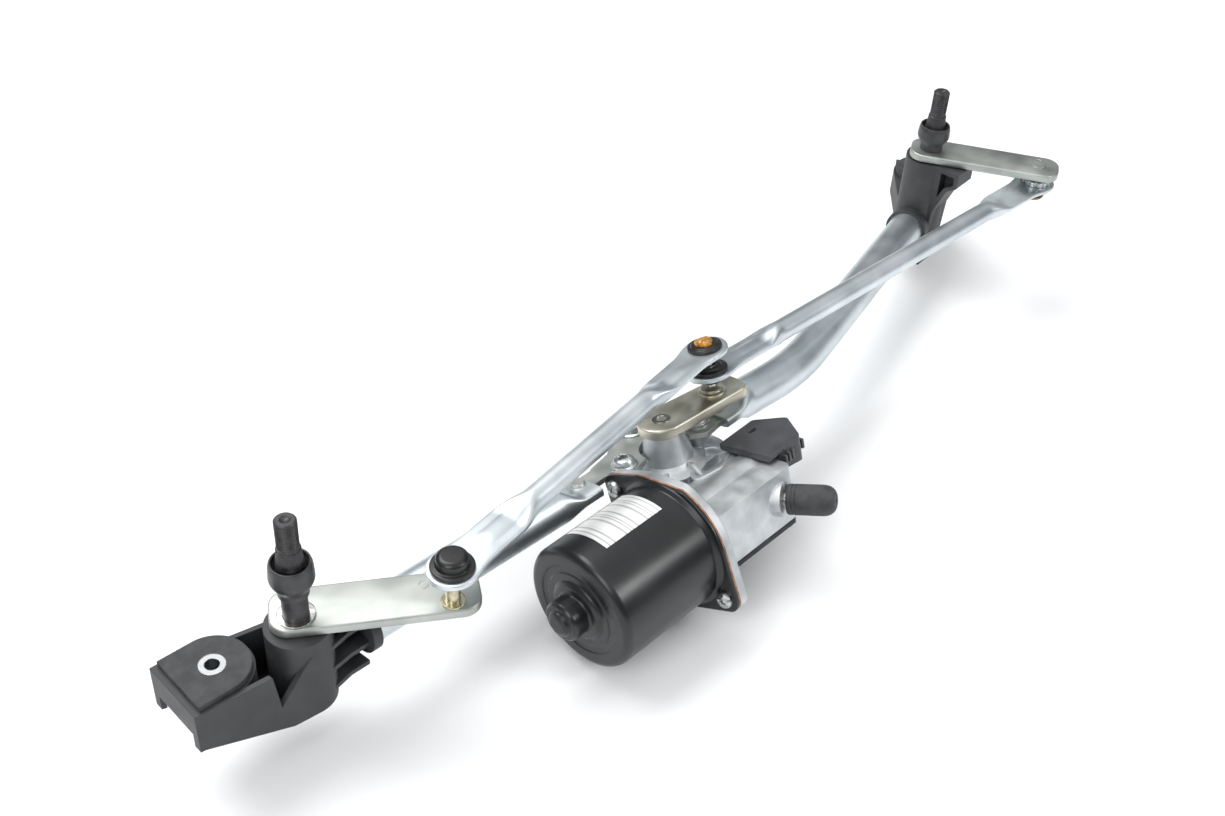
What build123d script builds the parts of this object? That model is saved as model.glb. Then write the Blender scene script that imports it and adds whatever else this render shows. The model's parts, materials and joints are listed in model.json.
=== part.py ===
from build123d import *
import os
from math import cos, radians, sin

# Windshield wiper drive, millimetres. +Z runs up along both wiper spindles and +X from the near
# spindle towards the far one. The origin is on the near spindle's axis, at the seat of its thread,
# where the wiper arm's nut starts.

# ---- driving dimensions ----------------------------------------------------------------------
SPINDLE_SPAN = 527.0
SHAFT_R = 5.8
THREAD_R = 5.0
THREAD_LENGTH = 16.2
KNURL_LENGTH = 9.0
COLLAR_R = 10.1
BUSH_WALL = 1.7
CRANK_RADIUS = 68.0
CRANK_PLATE_THICK = 5.0
NEAR_PLATE_TOP = -41.0
FAR_PLATE_TOP = -23.6
NEAR_CRANK_ANGLE = -40.5
FAR_CRANK_ANGLE = -64.6
NEAR_BALL_Z = -21.0
FAR_BALL_Z = -36.0
BOSS_GAP = 0.5
NEAR_BOSS_BOTTOM = -91.0
FAR_BOSS_BOTTOM = -89.0
SHAFT_TAIL = 3.6

MOTOR_TILT = 17.0
GEARBOX_TURN = -4.0
MOTOR_SHAFT = Vector(219.2, -27.9, -46.7)
MOTOR_CRANK_ANGLE = -12.0
MOTOR_CRANK_RADIUS = 34.9
MOTOR_CRANK_THICK = 6.0
UPPER_BALL_W = 24.7
LOWER_BALL_W = 11.7
OUTPUT_R = 5.0

BALL_R = 5.2
RUNNING_CLEARANCE = 0.05
SOCKET_FLANGE_R = 10.1
SOCKET_BODY_R = 7.4
ROD_R = 6.0
ROD_WALL = 1.2
ROD_FLAT = 3.0
ROD_FLAT_WIDTH = 19.0
ROD_EYE_R = 12.0

TUBE_R = 11.0
TUBE_WALL = 1.7
PLUG_R = 9.0
PAD_R = 18.0
PAD_THICK = 16.0
SLEEVE_R = 6.1
SLEEVE_BORE_R = 3.25
GROMMET_WALL = 3.0
BOSS_R = 15.0

CAN_R = 33.0
CAN_WALL = 1.6
CAN_FACE = -105.0
CAN_FLANGE = -38.6
FLANGE_FLAT = 34.0  # top of the flange is cut flat so that the crank passes over it
GASKET_THICK = 1.0
WORM_OFFSET = -34.8
WORM_LEVEL = -41.0
WORM_R = 5.3
WHEEL_R = 29.0
WHEEL_TEETH = 48
HOUSING_TOP = -27.0
HOUSING_BOTTOM = -58.0
CHAMBER_R = 33.0
PLATE_TOP_W = -16.0
PLATE_THICK = 3.0

# ---- frames ----------------------------------------------------------------------------------
near_axis = Plane.XY
far_axis = Plane(origin=(SPINDLE_SPAN, 0, 0))
tilt = radians(MOTOR_TILT)
motor = Plane(origin=MOTOR_SHAFT, x_dir=(1, 0, 0), z_dir=(0, sin(tilt), cos(tilt)))
turn = radians(GEARBOX_TURN)
gearbox = Plane(
    origin=MOTOR_SHAFT,
    x_dir=motor.x_dir * cos(turn) + motor.y_dir * sin(turn),
    z_dir=motor.z_dir,
)


def polar(radius, angle):
    """Point on a circle about the origin, angle in degrees."""
    return Vector(radius * cos(radians(angle)), radius * sin(radians(angle)), 0)


def facing(origin, direction, up):
    """A plane whose normal is direction and whose local y leans towards up."""
    normal = Vector(*direction).normalized()
    side = Vector(*up).cross(normal).normalized()
    return Plane(origin=origin, x_dir=side, z_dir=normal)


def across_motor(u):
    """Plane across the motor's long axis: local x along the shaft plane's y, local y upwards."""
    return Plane(
        origin=gearbox.from_local_coords(Vector(u, WORM_OFFSET, WORM_LEVEL)),
        x_dir=gearbox.y_dir,
        z_dir=gearbox.x_dir,
    )


near_ball = polar(CRANK_RADIUS, NEAR_CRANK_ANGLE) + Vector(0, 0, NEAR_BALL_Z)
far_ball = polar(CRANK_RADIUS, FAR_CRANK_ANGLE) + Vector(SPINDLE_SPAN, 0, FAR_BALL_Z)
crank_pin = polar(MOTOR_CRANK_RADIUS, MOTOR_CRANK_ANGLE)
upper_ball = motor.from_local_coords(crank_pin + Vector(0, 0, UPPER_BALL_W))
lower_ball = motor.from_local_coords(crank_pin + Vector(0, 0, LOWER_BALL_W))
near_boss_top = NEAR_PLATE_TOP - CRANK_PLATE_THICK - BOSS_GAP
far_boss_top = FAR_PLATE_TOP - CRANK_PLATE_THICK - BOSS_GAP


# ---- spindles, crank plates and bearings -------------------------------------------------------
def turned(axis, profile):
    """Solid of revolution about a spindle from (radius, height) points."""
    with BuildPart() as body:
        with BuildSketch(Plane(origin=axis.origin, x_dir=(1, 0, 0), z_dir=(0, -1, 0))):
            with BuildLine():
                Polyline(*profile, close=True)
            make_face()
        revolve(axis=Axis(axis.origin, (0, 0, 1)))
    return body


def spindle(axis, bottom):
    """Plain shaft with a ring groove, knurled cone and threaded end, turned in one piece."""
    return turned(
        axis,
        [
            (0, bottom),
            (SHAFT_R - 0.6, bottom),
            (SHAFT_R, bottom + 0.6),
            (SHAFT_R, bottom + 1.6),
            (SHAFT_R - 0.8, bottom + 1.6),
            (SHAFT_R - 0.8, bottom + 2.6),
            (SHAFT_R, bottom + 2.6),
            (SHAFT_R, -KNURL_LENGTH),
            (THREAD_R + 0.3, -0.4),
            (THREAD_R + 0.3, 0),
            (THREAD_R, 0),
            (THREAD_R, THREAD_LENGTH - 0.8),
            (THREAD_R - 0.8, THREAD_LENGTH),
            (0, THREAD_LENGTH),
        ],
    )


def collar(axis, bottom, neck, top):
    """Cup-shaped plastic cap over the shaft, open at the top."""
    return turned(
        axis,
        [
            (SHAFT_R, bottom),
            (COLLAR_R - 2.4, bottom),
            (COLLAR_R - 2.4, neck),
            (COLLAR_R, neck + 3.0),
            (COLLAR_R, top - 1.2),
            (COLLAR_R - 1.2, top),
            (COLLAR_R - 2.4, top),
            (COLLAR_R - 2.7, top - 5.0),
            (SHAFT_R, top - 5.6),
        ],
    )


def crank_plate(axis, top, angle, front, back, near_end, far_end):
    """Flat bar with rounded corners from the spindle to the ball stud."""
    lay = Plane(
        origin=axis.origin + Vector(0, 0, top - CRANK_PLATE_THICK), x_dir=polar(1, angle)
    )
    pin = lay.to_local_coords(axis.origin + polar(CRANK_RADIUS, lay_pin[top]))
    with BuildPart() as plate:
        with BuildSketch(lay):
            with Locations(((far_end + near_end) / 2, (front + back) / 2)):
                RectangleRounded(far_end - near_end, back - front, 9.0)
            Circle(SHAFT_R, mode=Mode.SUBTRACT)
            with Locations((pin.X, pin.Y)):
                Circle(4.0, mode=Mode.SUBTRACT)
        extrude(amount=CRANK_PLATE_THICK)
        with BuildSketch(lay.offset(CRANK_PLATE_THICK)):
            with Locations((pin.X - 13.0, pin.Y + 1.0)):
                Circle(2.0)
        extrude(amount=-0.6, mode=Mode.SUBTRACT)
    return plate


def ball_stud(ball, face, sign):
    """Ball, neck, seating collar and the shank riveted through the crank plate."""
    base = Plane(origin=(ball.X, ball.Y, face), z_dir=(0, 0, sign))
    with BuildPart() as stud:
        with Locations(ball):
            Sphere(BALL_R)
        with BuildSketch(base):
            Circle(3.3)
        extrude(amount=abs(ball.Z - face))
        with BuildSketch(base):
            Circle(5.5)
        extrude(amount=1.4)
        with BuildSketch(base):
            Circle(4.0)
        extrude(amount=-CRANK_PLATE_THICK - 0.8)
    return stud


def sleeve(plane, outer, inner, bottom, top):
    """Plain tube between two levels of a plane."""
    with BuildPart() as tube:
        with BuildSketch(plane.offset(bottom)):
            Circle(outer)
            Circle(inner, mode=Mode.SUBTRACT)
        extrude(amount=top - bottom)
    return tube


def retaining_ring(axis, shaft_end):
    """Snap ring seated in the groove at the tail of the spindle."""
    with BuildPart() as ring:
        with BuildSketch(axis.offset(shaft_end + 1.6)):
            Circle(8.4)
            Circle(SHAFT_R - 0.8, mode=Mode.SUBTRACT)
            with Locations((8.0, 0)):
                Rectangle(8.0, 4.0, mode=Mode.SUBTRACT)
        extrude(amount=1.0)
    return ring


lay_pin = {NEAR_PLATE_TOP: NEAR_CRANK_ANGLE, FAR_PLATE_TOP: FAR_CRANK_ANGLE}
near_spindle = spindle(near_axis, NEAR_BOSS_BOTTOM - SHAFT_TAIL)
far_spindle = spindle(far_axis, FAR_BOSS_BOTTOM - SHAFT_TAIL)
near_collar_cap = collar(near_axis, -27.0, -26.0, -8.0)
far_collar_cap = collar(far_axis, FAR_PLATE_TOP, -21.5, -7.0)
near_crank_plate = crank_plate(near_axis, NEAR_PLATE_TOP, -38.0, -8.9, 16.9, -12.0, 81.0)
far_crank_plate = crank_plate(far_axis, FAR_PLATE_TOP, FAR_CRANK_ANGLE, -12.0, 12.0, -12.5, 80.5)
near_ball_stud = ball_stud(near_ball, NEAR_PLATE_TOP, 1)
far_ball_stud = ball_stud(far_ball, FAR_PLATE_TOP - CRANK_PLATE_THICK, -1)
near_seat_ring = sleeve(near_axis, 8.5, SHAFT_R, NEAR_PLATE_TOP, NEAR_PLATE_TOP + 1.0)
bush_inner = SHAFT_R + RUNNING_CLEARANCE
bush_outer = SHAFT_R + BUSH_WALL
near_bearing_bush = sleeve(near_axis, bush_outer, bush_inner, NEAR_BOSS_BOTTOM, near_boss_top)
far_bearing_bush = sleeve(far_axis, bush_outer, bush_inner, FAR_BOSS_BOTTOM, far_boss_top)
near_retaining_ring = retaining_ring(near_axis, NEAR_BOSS_BOTTOM - SHAFT_TAIL)
far_retaining_ring = retaining_ring(far_axis, FAR_BOSS_BOTTOM - SHAFT_TAIL)

# ---- frame tubes -------------------------------------------------------------------------------
near_tube_start = Vector(33.5, -5.3, -68.0)
near_tube_end = Vector(148.0, -16.0, -68.0)
far_tube_start = Vector(279.0, -37.3, -63.2)
far_tube_bend = Vector(324.0, -41.2, -65.5)
far_tube_end = Vector(507.0, -3.2, -74.6)
near_tube_line = (near_tube_end - near_tube_start).normalized()
far_tube_line = (far_tube_end - far_tube_bend).normalized()
near_tube_plane = facing(near_tube_start, near_tube_line, (0, 0, 1))
near_round = facing(near_tube_end, -near_tube_line, motor.z_dir)
far_round = facing(far_tube_start, far_tube_bend - far_tube_start, motor.z_dir)
far_tube_plane = facing(far_tube_end, far_tube_line, (0, 0, 1))
tongue_level = PLATE_TOP_W - PLATE_THICK / 2


def plate_run(outer, inner):
    """Plane across the mounting plate at outer, facing inner; both are (u, v) points."""
    start = motor.from_local_coords(Vector(outer[0], outer[1], tongue_level))
    stop = motor.from_local_coords(Vector(inner[0], inner[1], tongue_level))
    return facing(start, stop - start, motor.z_dir)


near_flat = plate_run((-57.0, 16.4), (-46.5, 15.4))
far_flat = plate_run((46.0, -3.3), (34.5, -2.5))
rivet_spots = [(-51.5, 15.9), (40.0, -2.9)]


def pinched(round_end, radius, flat, width, height, corner):
    """Solid that runs from a circle to a flat section and on to the end of the tube."""
    with BuildPart() as run:
        with BuildSketch(round_end):
            Circle(radius)
        with BuildSketch(flat):
            RectangleRounded(width, height, corner)
        loft()
        with BuildSketch(flat):
            RectangleRounded(width, height, corner)
        extrude(amount=10.5)
    return run.part


def frame_tube(route, round_start, round_end, flat):
    """Round tube along a route, pinched flat at one end over the mounting plate's tongue."""
    outer = pinched(round_end, TUBE_R, flat, 26.0, 6.2, 3.0)
    inner = pinched(round_end, TUBE_R - TUBE_WALL, flat, 22.0, PLATE_THICK, 1.2)
    with BuildPart() as tube:
        with BuildSketch(round_start):
            Circle(TUBE_R)
            Circle(TUBE_R - TUBE_WALL, mode=Mode.SUBTRACT)
        sweep(path=route)
        add(outer - inner)
        with BuildSketch(motor.offset(-60)):
            with Locations(*rivet_spots):
                Circle(2.5)
        extrude(amount=60, mode=Mode.SUBTRACT)
    return tube


with BuildLine() as near_route:
    Line(near_tube_start, near_tube_end)
with BuildLine() as far_route:
    FilletPolyline(far_tube_start, far_tube_bend, far_tube_end, radius=90)
near_frame_tube = frame_tube(near_route.line, near_tube_plane, near_round, near_flat)
far_frame_tube = frame_tube(far_route.line, far_round, far_round, far_flat)

with BuildPart() as tube_pins:
    with BuildSketch(motor.offset(tongue_level - 3.1)):
        with Locations(*rivet_spots):
            Circle(2.5)
    extrude(amount=6.2)
    with BuildSketch(motor.offset(tongue_level + 3.1)):
        with Locations(*rivet_spots):
            Circle(4.2)
    extrude(amount=1.6, taper=30)
    with BuildSketch(motor.offset(tongue_level - 3.1)):
        with Locations(*rivet_spots):
            Circle(4.2)
    extrude(amount=-1.6, taper=30)

# ---- near bracket ------------------------------------------------------------------------------
near_pad = Plane(origin=(-37.3, 12.1, -54.0), x_dir=polar(1, -6.5))
near_pad_boss = near_pad.to_local_coords(Vector(0, 0, -54.0))
near_pad_back = -20.0


def pad_face(radius, back):
    """D outline: square at the back edge, round in front, about the grommet."""
    Circle(radius)
    with Locations((back / 2, 0)):
        Rectangle(-back, 2 * radius)


def side_view(points, y):
    """Flat outline of (x, z) points standing at the given y."""
    with BuildSketch(Plane(origin=(0, y, 0), x_dir=(1, 0, 0), z_dir=(0, -1, 0))) as view:
        with BuildLine():
            Polyline(*points, close=True)
        make_face()
    return view.sketch


with BuildPart() as near_bracket:
    with BuildSketch(near_pad.offset(-54.0 - NEAR_BOSS_BOTTOM - 74.0)):
        with Locations((near_pad_back + 1.0, 0)):
            Rectangle(2.0, 2 * PAD_R)
        with Locations((near_pad_boss.X, near_pad_boss.Y)):
            Circle(BOSS_R)
        make_hull()
    extrude(amount=37.0)
    underside = side_view([(-80, -76), (-57, -76.5), (-16, -91), (-16, -110), (-80, -110)], 60)
    extrude(underside, amount=120, mode=Mode.SUBTRACT)
    # notch in the front wall between the pad and the boss, and the pocket behind it
    wedge = side_view([(-21, -75), (-24, -50), (-3.0, -50)], 13.0)
    extrude(wedge, amount=73, mode=Mode.SUBTRACT)
    with BuildSketch(near_pad.offset(4.0)):
        with Locations((near_pad_back + 4.0, 0)):
            Rectangle(2.0, 2 * PAD_R - 5.2)
        with Locations((near_pad_boss.X, near_pad_boss.Y)):
            Circle(BOSS_R - 2.6)
        make_hull()
        Circle(PAD_R - 0.5, mode=Mode.SUBTRACT)
        with Locations((near_pad_back / 2, 0)):
            Rectangle(-near_pad_back + 4.0, 2 * PAD_R, mode=Mode.SUBTRACT)
        with Locations((near_pad_boss.X, near_pad_boss.Y)):
            Circle(BOSS_R - 1.0, mode=Mode.SUBTRACT)
    extrude(amount=-34.0, mode=Mode.SUBTRACT)
    with BuildSketch(near_pad):
        pad_face(PAD_R, near_pad_back)
    extrude(amount=-PAD_THICK)
    with BuildSketch(Plane.XY.offset(NEAR_BOSS_BOTTOM)):
        Circle(BOSS_R)
    extrude(amount=near_boss_top - NEAR_BOSS_BOTTOM)
    # moulding hollow under the pad
    with BuildSketch(near_pad.offset(-4.0)):
        pad_face(PAD_R - 2.6, near_pad_back + 2.6)
        Circle(SLEEVE_R + GROMMET_WALL + 2.4, mode=Mode.SUBTRACT)
        with Locations((near_pad_back / 2, 0)):
            Rectangle(-near_pad_back, 2.2, mode=Mode.SUBTRACT)
    extrude(amount=-40, mode=Mode.SUBTRACT)
    # arch under the back edge, between its two feet
    with BuildSketch(near_pad.offset(-14.5)):
        with Locations((near_pad_back, 0)):
            Rectangle(8.0, 2 * PAD_R - 9.0)
    extrude(amount=-20, mode=Mode.SUBTRACT)
    # truss from the boss to the tube
    with BuildSketch(Plane(origin=(0, -3.4, 0), x_dir=near_tube_line, z_dir=(0, -1, 0)).offset(-2.0)):
        with BuildLine():
            Polyline((8, -48.5), (29, -54), (29, -82), (12, -90.5), close=True)
        make_face()
    extrude(amount=4.0)
    for level, spread in ((-86.0, 10.0), (-73.0, 11.0), (-60.0, 10.0), (-50.5, 8.0)):
        with BuildSketch(Plane.XY.offset(level)):
            with BuildLine():
                Polyline((0, -14), (18, -2 - spread), (28, -5 - spread * 0.8), (28, -5 + spread * 0.8),
                         (18, -2 + spread), (0, 14), close=True)
            make_face()
        extrude(amount=2.6)
    with BuildSketch(near_tube_plane.offset(-5.0)):
        Circle(TUBE_R + 2.4)
    extrude(amount=5.0)
    with BuildSketch(near_tube_plane.offset(-5.0)):
        Circle(PLUG_R)
    extrude(amount=35.0)
    with BuildSketch(Plane.XY.offset(-100)):
        Circle(bush_outer)
    extrude(amount=80, mode=Mode.SUBTRACT)
    with BuildSketch(near_pad.offset(-40)):
        Circle(SLEEVE_R + GROMMET_WALL)
    extrude(amount=60, mode=Mode.SUBTRACT)


def grommet(pad, back):
    """Rubber bush with a D-shaped flange on top of the pad."""
    with BuildPart() as rubber:
        with BuildSketch(pad):
            pad_face(PAD_R - 1.2, back + 3.2)
        extrude(amount=3.0)
        with BuildSketch(pad.offset(-PAD_THICK - 2.0)):
            Circle(SLEEVE_R + GROMMET_WALL)
        extrude(amount=PAD_THICK + 2.0)
        with BuildSketch(pad.offset(-PAD_THICK - 2.0)):
            Circle(SLEEVE_R)
        extrude(amount=PAD_THICK + 10.0, mode=Mode.SUBTRACT)
    return rubber


near_grommet = grommet(near_pad, near_pad_back)
near_grommet_sleeve = sleeve(near_pad, SLEEVE_R, SLEEVE_BORE_R, -18.4, 3.2)

# ---- far bracket -------------------------------------------------------------------------------
far_pad = Plane(origin=(557.0, 18.0, -62.0), x_dir=polar(-1, 31.0))
far_pad_boss = far_pad.to_local_coords(Vector(SPINDLE_SPAN, 0, -62.0))

with BuildPart() as far_bracket:
    with BuildSketch(far_pad.offset(-PAD_THICK)):
        Circle(PAD_R)
        with Locations((far_pad_boss.X, far_pad_boss.Y)):
            Circle(BOSS_R - 0.5)
        make_hull()
    extrude(amount=PAD_THICK)
    with BuildSketch(far_pad.offset(-4.0)):
        Circle(PAD_R - 2.6)
        with Locations((far_pad_boss.X / 2 + 2.0, 0)):
            Rectangle(far_pad_boss.X - 18.0, 20.0)
        Circle(SLEEVE_R + GROMMET_WALL + 2.4, mode=Mode.SUBTRACT)
        with Locations((far_pad_boss.X / 2, 0)):
            Rectangle(far_pad_boss.X, 2.2, mode=Mode.SUBTRACT)
    extrude(amount=-40, mode=Mode.SUBTRACT)
    with BuildSketch(far_axis.offset(FAR_BOSS_BOTTOM)):
        Circle(BOSS_R - 0.5)
    extrude(amount=far_boss_top - FAR_BOSS_BOTTOM)
    # fin towards the windscreen side, with a rim and a thin web
    with BuildSketch(Plane(origin=(SPINDLE_SPAN - 9.5, 0, 0), x_dir=(0, 1, 0), z_dir=(1, 0, 0))) as fin:
        with BuildLine():
            Polyline((-9, far_boss_top), (-27, far_boss_top), (-27, -39), (-21, -43), (-14, -61),
                     (-12, -103), (-9.4, -103), (-9.4, -84), close=True)
        make_face()
    extrude(amount=19.0)
    with BuildSketch(Plane(origin=(SPINDLE_SPAN - 9.5, 0, 0), x_dir=(0, 1, 0), z_dir=(1, 0, 0))) as hollow:
        with BuildLine():
            Polyline((-15, far_boss_top - 3), (-24.5, far_boss_top - 3), (-24.5, -38), (-18.5, -42),
                     (-15, -50), close=True)
        make_face()
    extrude(amount=8.0, mode=Mode.SUBTRACT)
    extrude(hollow.sketch.moved(Location((11.0, 0, 0))), amount=8.0, mode=Mode.SUBTRACT)
    with BuildSketch(far_tube_plane.offset(-1.0)):
        Circle(TUBE_R + 2.2)
    extrude(amount=8.0)
    with BuildSketch(far_tube_plane.offset(8.0)):
        Circle(PLUG_R)
    extrude(amount=-36.0)
    with BuildSketch(far_tube_plane.offset(-1.5)):
        Circle(TUBE_R + 3.0)
        Circle(PLUG_R, mode=Mode.SUBTRACT)
    extrude(amount=1.5, mode=Mode.SUBTRACT)
    with BuildSketch(far_axis.offset(-120)):
        Circle(bush_outer)
    extrude(amount=120, mode=Mode.SUBTRACT)
    with BuildSketch(far_pad.offset(-40)):
        Circle(SLEEVE_R + GROMMET_WALL)
    extrude(amount=60, mode=Mode.SUBTRACT)

far_grommet = grommet(far_pad, -12.0)
far_grommet_sleeve = sleeve(far_pad, SLEEVE_R, SLEEVE_BORE_R, -18.4, 3.2)

# ---- motor mounting plate ----------------------------------------------------------------------
bolt_spots = [(-24.6, 8.0), (25.0, -1.0), (4.0, 27.0)]
plate_plane = motor.offset(PLATE_TOP_W - PLATE_THICK)


with BuildPart() as motor_mount_plate:
    with BuildSketch(plate_plane) as plate_outline:
        with BuildLine():
            Polyline((-37, 22), (-20, 24), (-6, 34), (12, 36), (17, 24), (25, 10), (33, 7), (33, -11),
                     (20, -12), (12, -3), (11, 9), (-10, 9), (-14, 2), (-24, 0), (-28, 4), (-33, 10),
                     (-37, 10.5), close=True)
        make_face()
        fillet(plate_outline.vertices(), 2.2)
        with Locations(Location((-45.0, 16.2, 0), (0, 0, -5.4))):
            Rectangle(22.0, 11.4)
        with Locations(Location((38.0, -2.7, 0), (0, 0, -4.0))):
            Rectangle(14.0, 18.0)
        Circle(14.4, mode=Mode.SUBTRACT)
        with Locations(*rivet_spots):
            Circle(2.5, mode=Mode.SUBTRACT)
        with Locations(*bolt_spots):
            Circle(3.3, mode=Mode.SUBTRACT)
    extrude(amount=PLATE_THICK)

with BuildPart() as mount_bolts:
    with BuildSketch(motor.offset(PLATE_TOP_W)):
        with Locations(*bolt_spots):
            Circle(7.1)
    extrude(amount=0.9)
    with BuildSketch(motor.offset(PLATE_TOP_W + 0.9)):
        with Locations(*bolt_spots):
            RegularPolygon(6.75, 6)
    extrude(amount=4.6)
    with BuildSketch(motor.offset(PLATE_TOP_W)):
        with Locations(*bolt_spots):
            Circle(3.0)
    extrude(amount=-PLATE_THICK - 12.0)

# ---- gearbox -----------------------------------------------------------------------------------
cover_spots = [(-28.6, -8.0), (-28.6, -52.0), (26.0, -52.0), (26.0, -19.5)]


rest_base = motor.from_local_coords(Vector(16.6, -62.6, -42.0))
rest_tip = motor.from_local_coords(Vector(26.2, -87.5, -42.0))
rest_plane = facing(rest_base, rest_tip - rest_base, motor.z_dir)


def gearbox_outline(extra):
    """Round wheel chamber with the straight worm bay in front."""
    Circle(CHAMBER_R + extra)
    with Locations((-1.3, -37.5)):
        RectangleRounded(62.6 + 2 * extra, 40.0 + 2 * extra, 3.0)


def motor_flange(circle_r, ear_r):
    """Outline shared by the motor flange, its gasket and the gearbox face."""
    Circle(circle_r)
    with Locations((33.0, 22.0), (-33.0, -22.0)):
        Circle(ear_r)
    make_hull()
    with Locations((0, FLANGE_FLAT - 60.0)):
        Rectangle(160.0, 120.0, mode=Mode.INTERSECT)


with BuildPart() as gearbox_housing:
    with BuildSketch(gearbox.offset(HOUSING_BOTTOM)):
        gearbox_outline(0)
    extrude(amount=HOUSING_TOP - HOUSING_BOTTOM)
    with BuildSketch(across_motor(-36.0)):
        Circle(15.6)
    extrude(amount=65.3)
    with BuildSketch(across_motor(CAN_FLANGE + GASKET_THICK)):
        motor_flange(35.8, 7.2)
    extrude(amount=5.0)
    with BuildSketch(gearbox.offset(HOUSING_TOP)):
        Circle(15.0)
    extrude(amount=20.0, taper=13)
    with BuildSketch(motor.offset(HOUSING_TOP - 6)):
        with Locations(*bolt_spots):
            Circle(6.6)
    extrude(amount=PLATE_TOP_W - PLATE_THICK - HOUSING_TOP + 6)
    with BuildSketch(rest_plane.offset(-12.0)):
        Circle(9.0)
    extrude(amount=9.5)
    with BuildSketch(rest_plane.offset(-6.0)):
        Circle(4.0)
    extrude(amount=6.0, mode=Mode.SUBTRACT)
    # hollow between the hub and the worm tunnel, crossed by a rib
    with BuildSketch(gearbox.offset(HOUSING_TOP)):
        with Locations((12.0, -20.0), (-12.0, -20.0)):
            RectangleRounded(16.0, 7.0, 2.0)
    extrude(amount=-5.0, mode=Mode.SUBTRACT)
    # wheel chamber, worm bay and bores
    with BuildSketch(gearbox.offset(HOUSING_BOTTOM)):
        Circle(WHEEL_R + 1.2)
    extrude(amount=23.0, mode=Mode.SUBTRACT)
    with BuildSketch(gearbox.offset(HOUSING_BOTTOM)):
        with Locations((0, WORM_OFFSET)):
            Rectangle(44.0, 14.0)
    extrude(amount=24.0, mode=Mode.SUBTRACT)
    with BuildSketch(across_motor(CAN_FLANGE)):
        Circle(6.4)
    extrude(amount=66.0, mode=Mode.SUBTRACT)
    with BuildSketch(gearbox.offset(-80.0)):
        Circle(OUTPUT_R + 2.0)
    extrude(amount=80.0, mode=Mode.SUBTRACT)
    with BuildSketch(motor.offset(PLATE_TOP_W - PLATE_THICK)):
        with Locations(*bolt_spots):
            Circle(3.0)
    extrude(amount=-12.0, mode=Mode.SUBTRACT)
    with BuildSketch(gearbox.offset(HOUSING_BOTTOM)):
        with Locations(*cover_spots):
            Circle(1.6)
    extrude(amount=9.0, mode=Mode.SUBTRACT)
    with BuildSketch(across_motor(CAN_FLANGE + GASKET_THICK)):
        with Locations((33.0, 22.0), (-33.0, -22.0)):
            Circle(2.2)
    extrude(amount=10.0, mode=Mode.SUBTRACT)

with BuildPart() as cover_seal:
    with BuildSketch(gearbox.offset(HOUSING_BOTTOM)):
        gearbox_outline(-0.4)
        Circle(WHEEL_R + 1.2, mode=Mode.SUBTRACT)
        with Locations((0, WORM_OFFSET)):
            Rectangle(44.0, 14.0, mode=Mode.SUBTRACT)
        with Locations(*cover_spots):
            Circle(1.6, mode=Mode.SUBTRACT)
    extrude(amount=-0.8)

with BuildPart() as gearbox_cover:
    with BuildSketch(gearbox.offset(HOUSING_BOTTOM - 0.8)):
        gearbox_outline(-0.2)
        with Locations(*cover_spots):
            Circle(1.6, mode=Mode.SUBTRACT)
    extrude(amount=-2.6)
    with BuildSketch(gearbox.offset(HOUSING_BOTTOM - 3.4)):
        Circle(21.0)
    extrude(amount=-2.6, taper=35)

with BuildPart() as cover_screws:
    with BuildSketch(gearbox.offset(HOUSING_BOTTOM - 3.4)):
        with Locations(*cover_spots):
            Circle(3.4)
    extrude(amount=-2.2)
    with BuildSketch(gearbox.offset(HOUSING_BOTTOM - 3.4)):
        with Locations(*cover_spots):
            Circle(1.6)
    extrude(amount=11.4)
    with BuildSketch(gearbox.offset(HOUSING_BOTTOM - 5.6)):
        with Locations(*cover_spots):
            RegularPolygon(1.5, 6)
    extrude(amount=1.2, mode=Mode.SUBTRACT)

output_bush = sleeve(motor, OUTPUT_R + 2.0, OUTPUT_R + RUNNING_CLEARANCE, -35.0, -8.0)

with BuildPart() as output_shaft:
    with BuildSketch(gearbox.offset(-54.0)):
        Circle(OUTPUT_R)
    extrude(amount=54.4)
    with BuildSketch(gearbox.offset(0.4)):
        Circle(2.6)
    extrude(amount=-0.6, mode=Mode.SUBTRACT)

with BuildPart() as worm_wheel:
    with BuildSketch(gearbox.offset(WORM_LEVEL - 4.0)):
        Circle(WHEEL_R - 1.7)
        with PolarLocations(WHEEL_R - 1.4, WHEEL_TEETH):
            Trapezoid(2.2, 2.6, 78, rotation=-90)
        Circle(OUTPUT_R, mode=Mode.SUBTRACT)
    extrude(amount=8.0)
    with BuildSketch(gearbox.offset(WORM_LEVEL + 4.0)):
        Circle(21.0)
        Circle(9.0, mode=Mode.SUBTRACT)
    extrude(amount=-2.0, mode=Mode.SUBTRACT)
    with BuildSketch(gearbox.offset(WORM_LEVEL - 4.0)):
        Circle(9.0)
        Circle(OUTPUT_R, mode=Mode.SUBTRACT)
    extrude(amount=-6.0)

# ---- motor crank and its stub ------------------------------------------------------------------
stub_top = 3.0

with BuildPart() as motor_crank:
    with BuildSketch(motor.offset(-MOTOR_CRANK_THICK)):
        Circle(13.0)
        with Locations(Location((crank_pin.X * 1.2, crank_pin.Y * 1.2, 0), (0, 0, MOTOR_CRANK_ANGLE))):
            RectangleRounded(22.0, 22.0, 7.0)
        make_hull()
        Circle(OUTPUT_R, mode=Mode.SUBTRACT)
        with Locations((crank_pin.X, crank_pin.Y)):
            Circle(4.0, mode=Mode.SUBTRACT)
    extrude(amount=MOTOR_CRANK_THICK)

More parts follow.
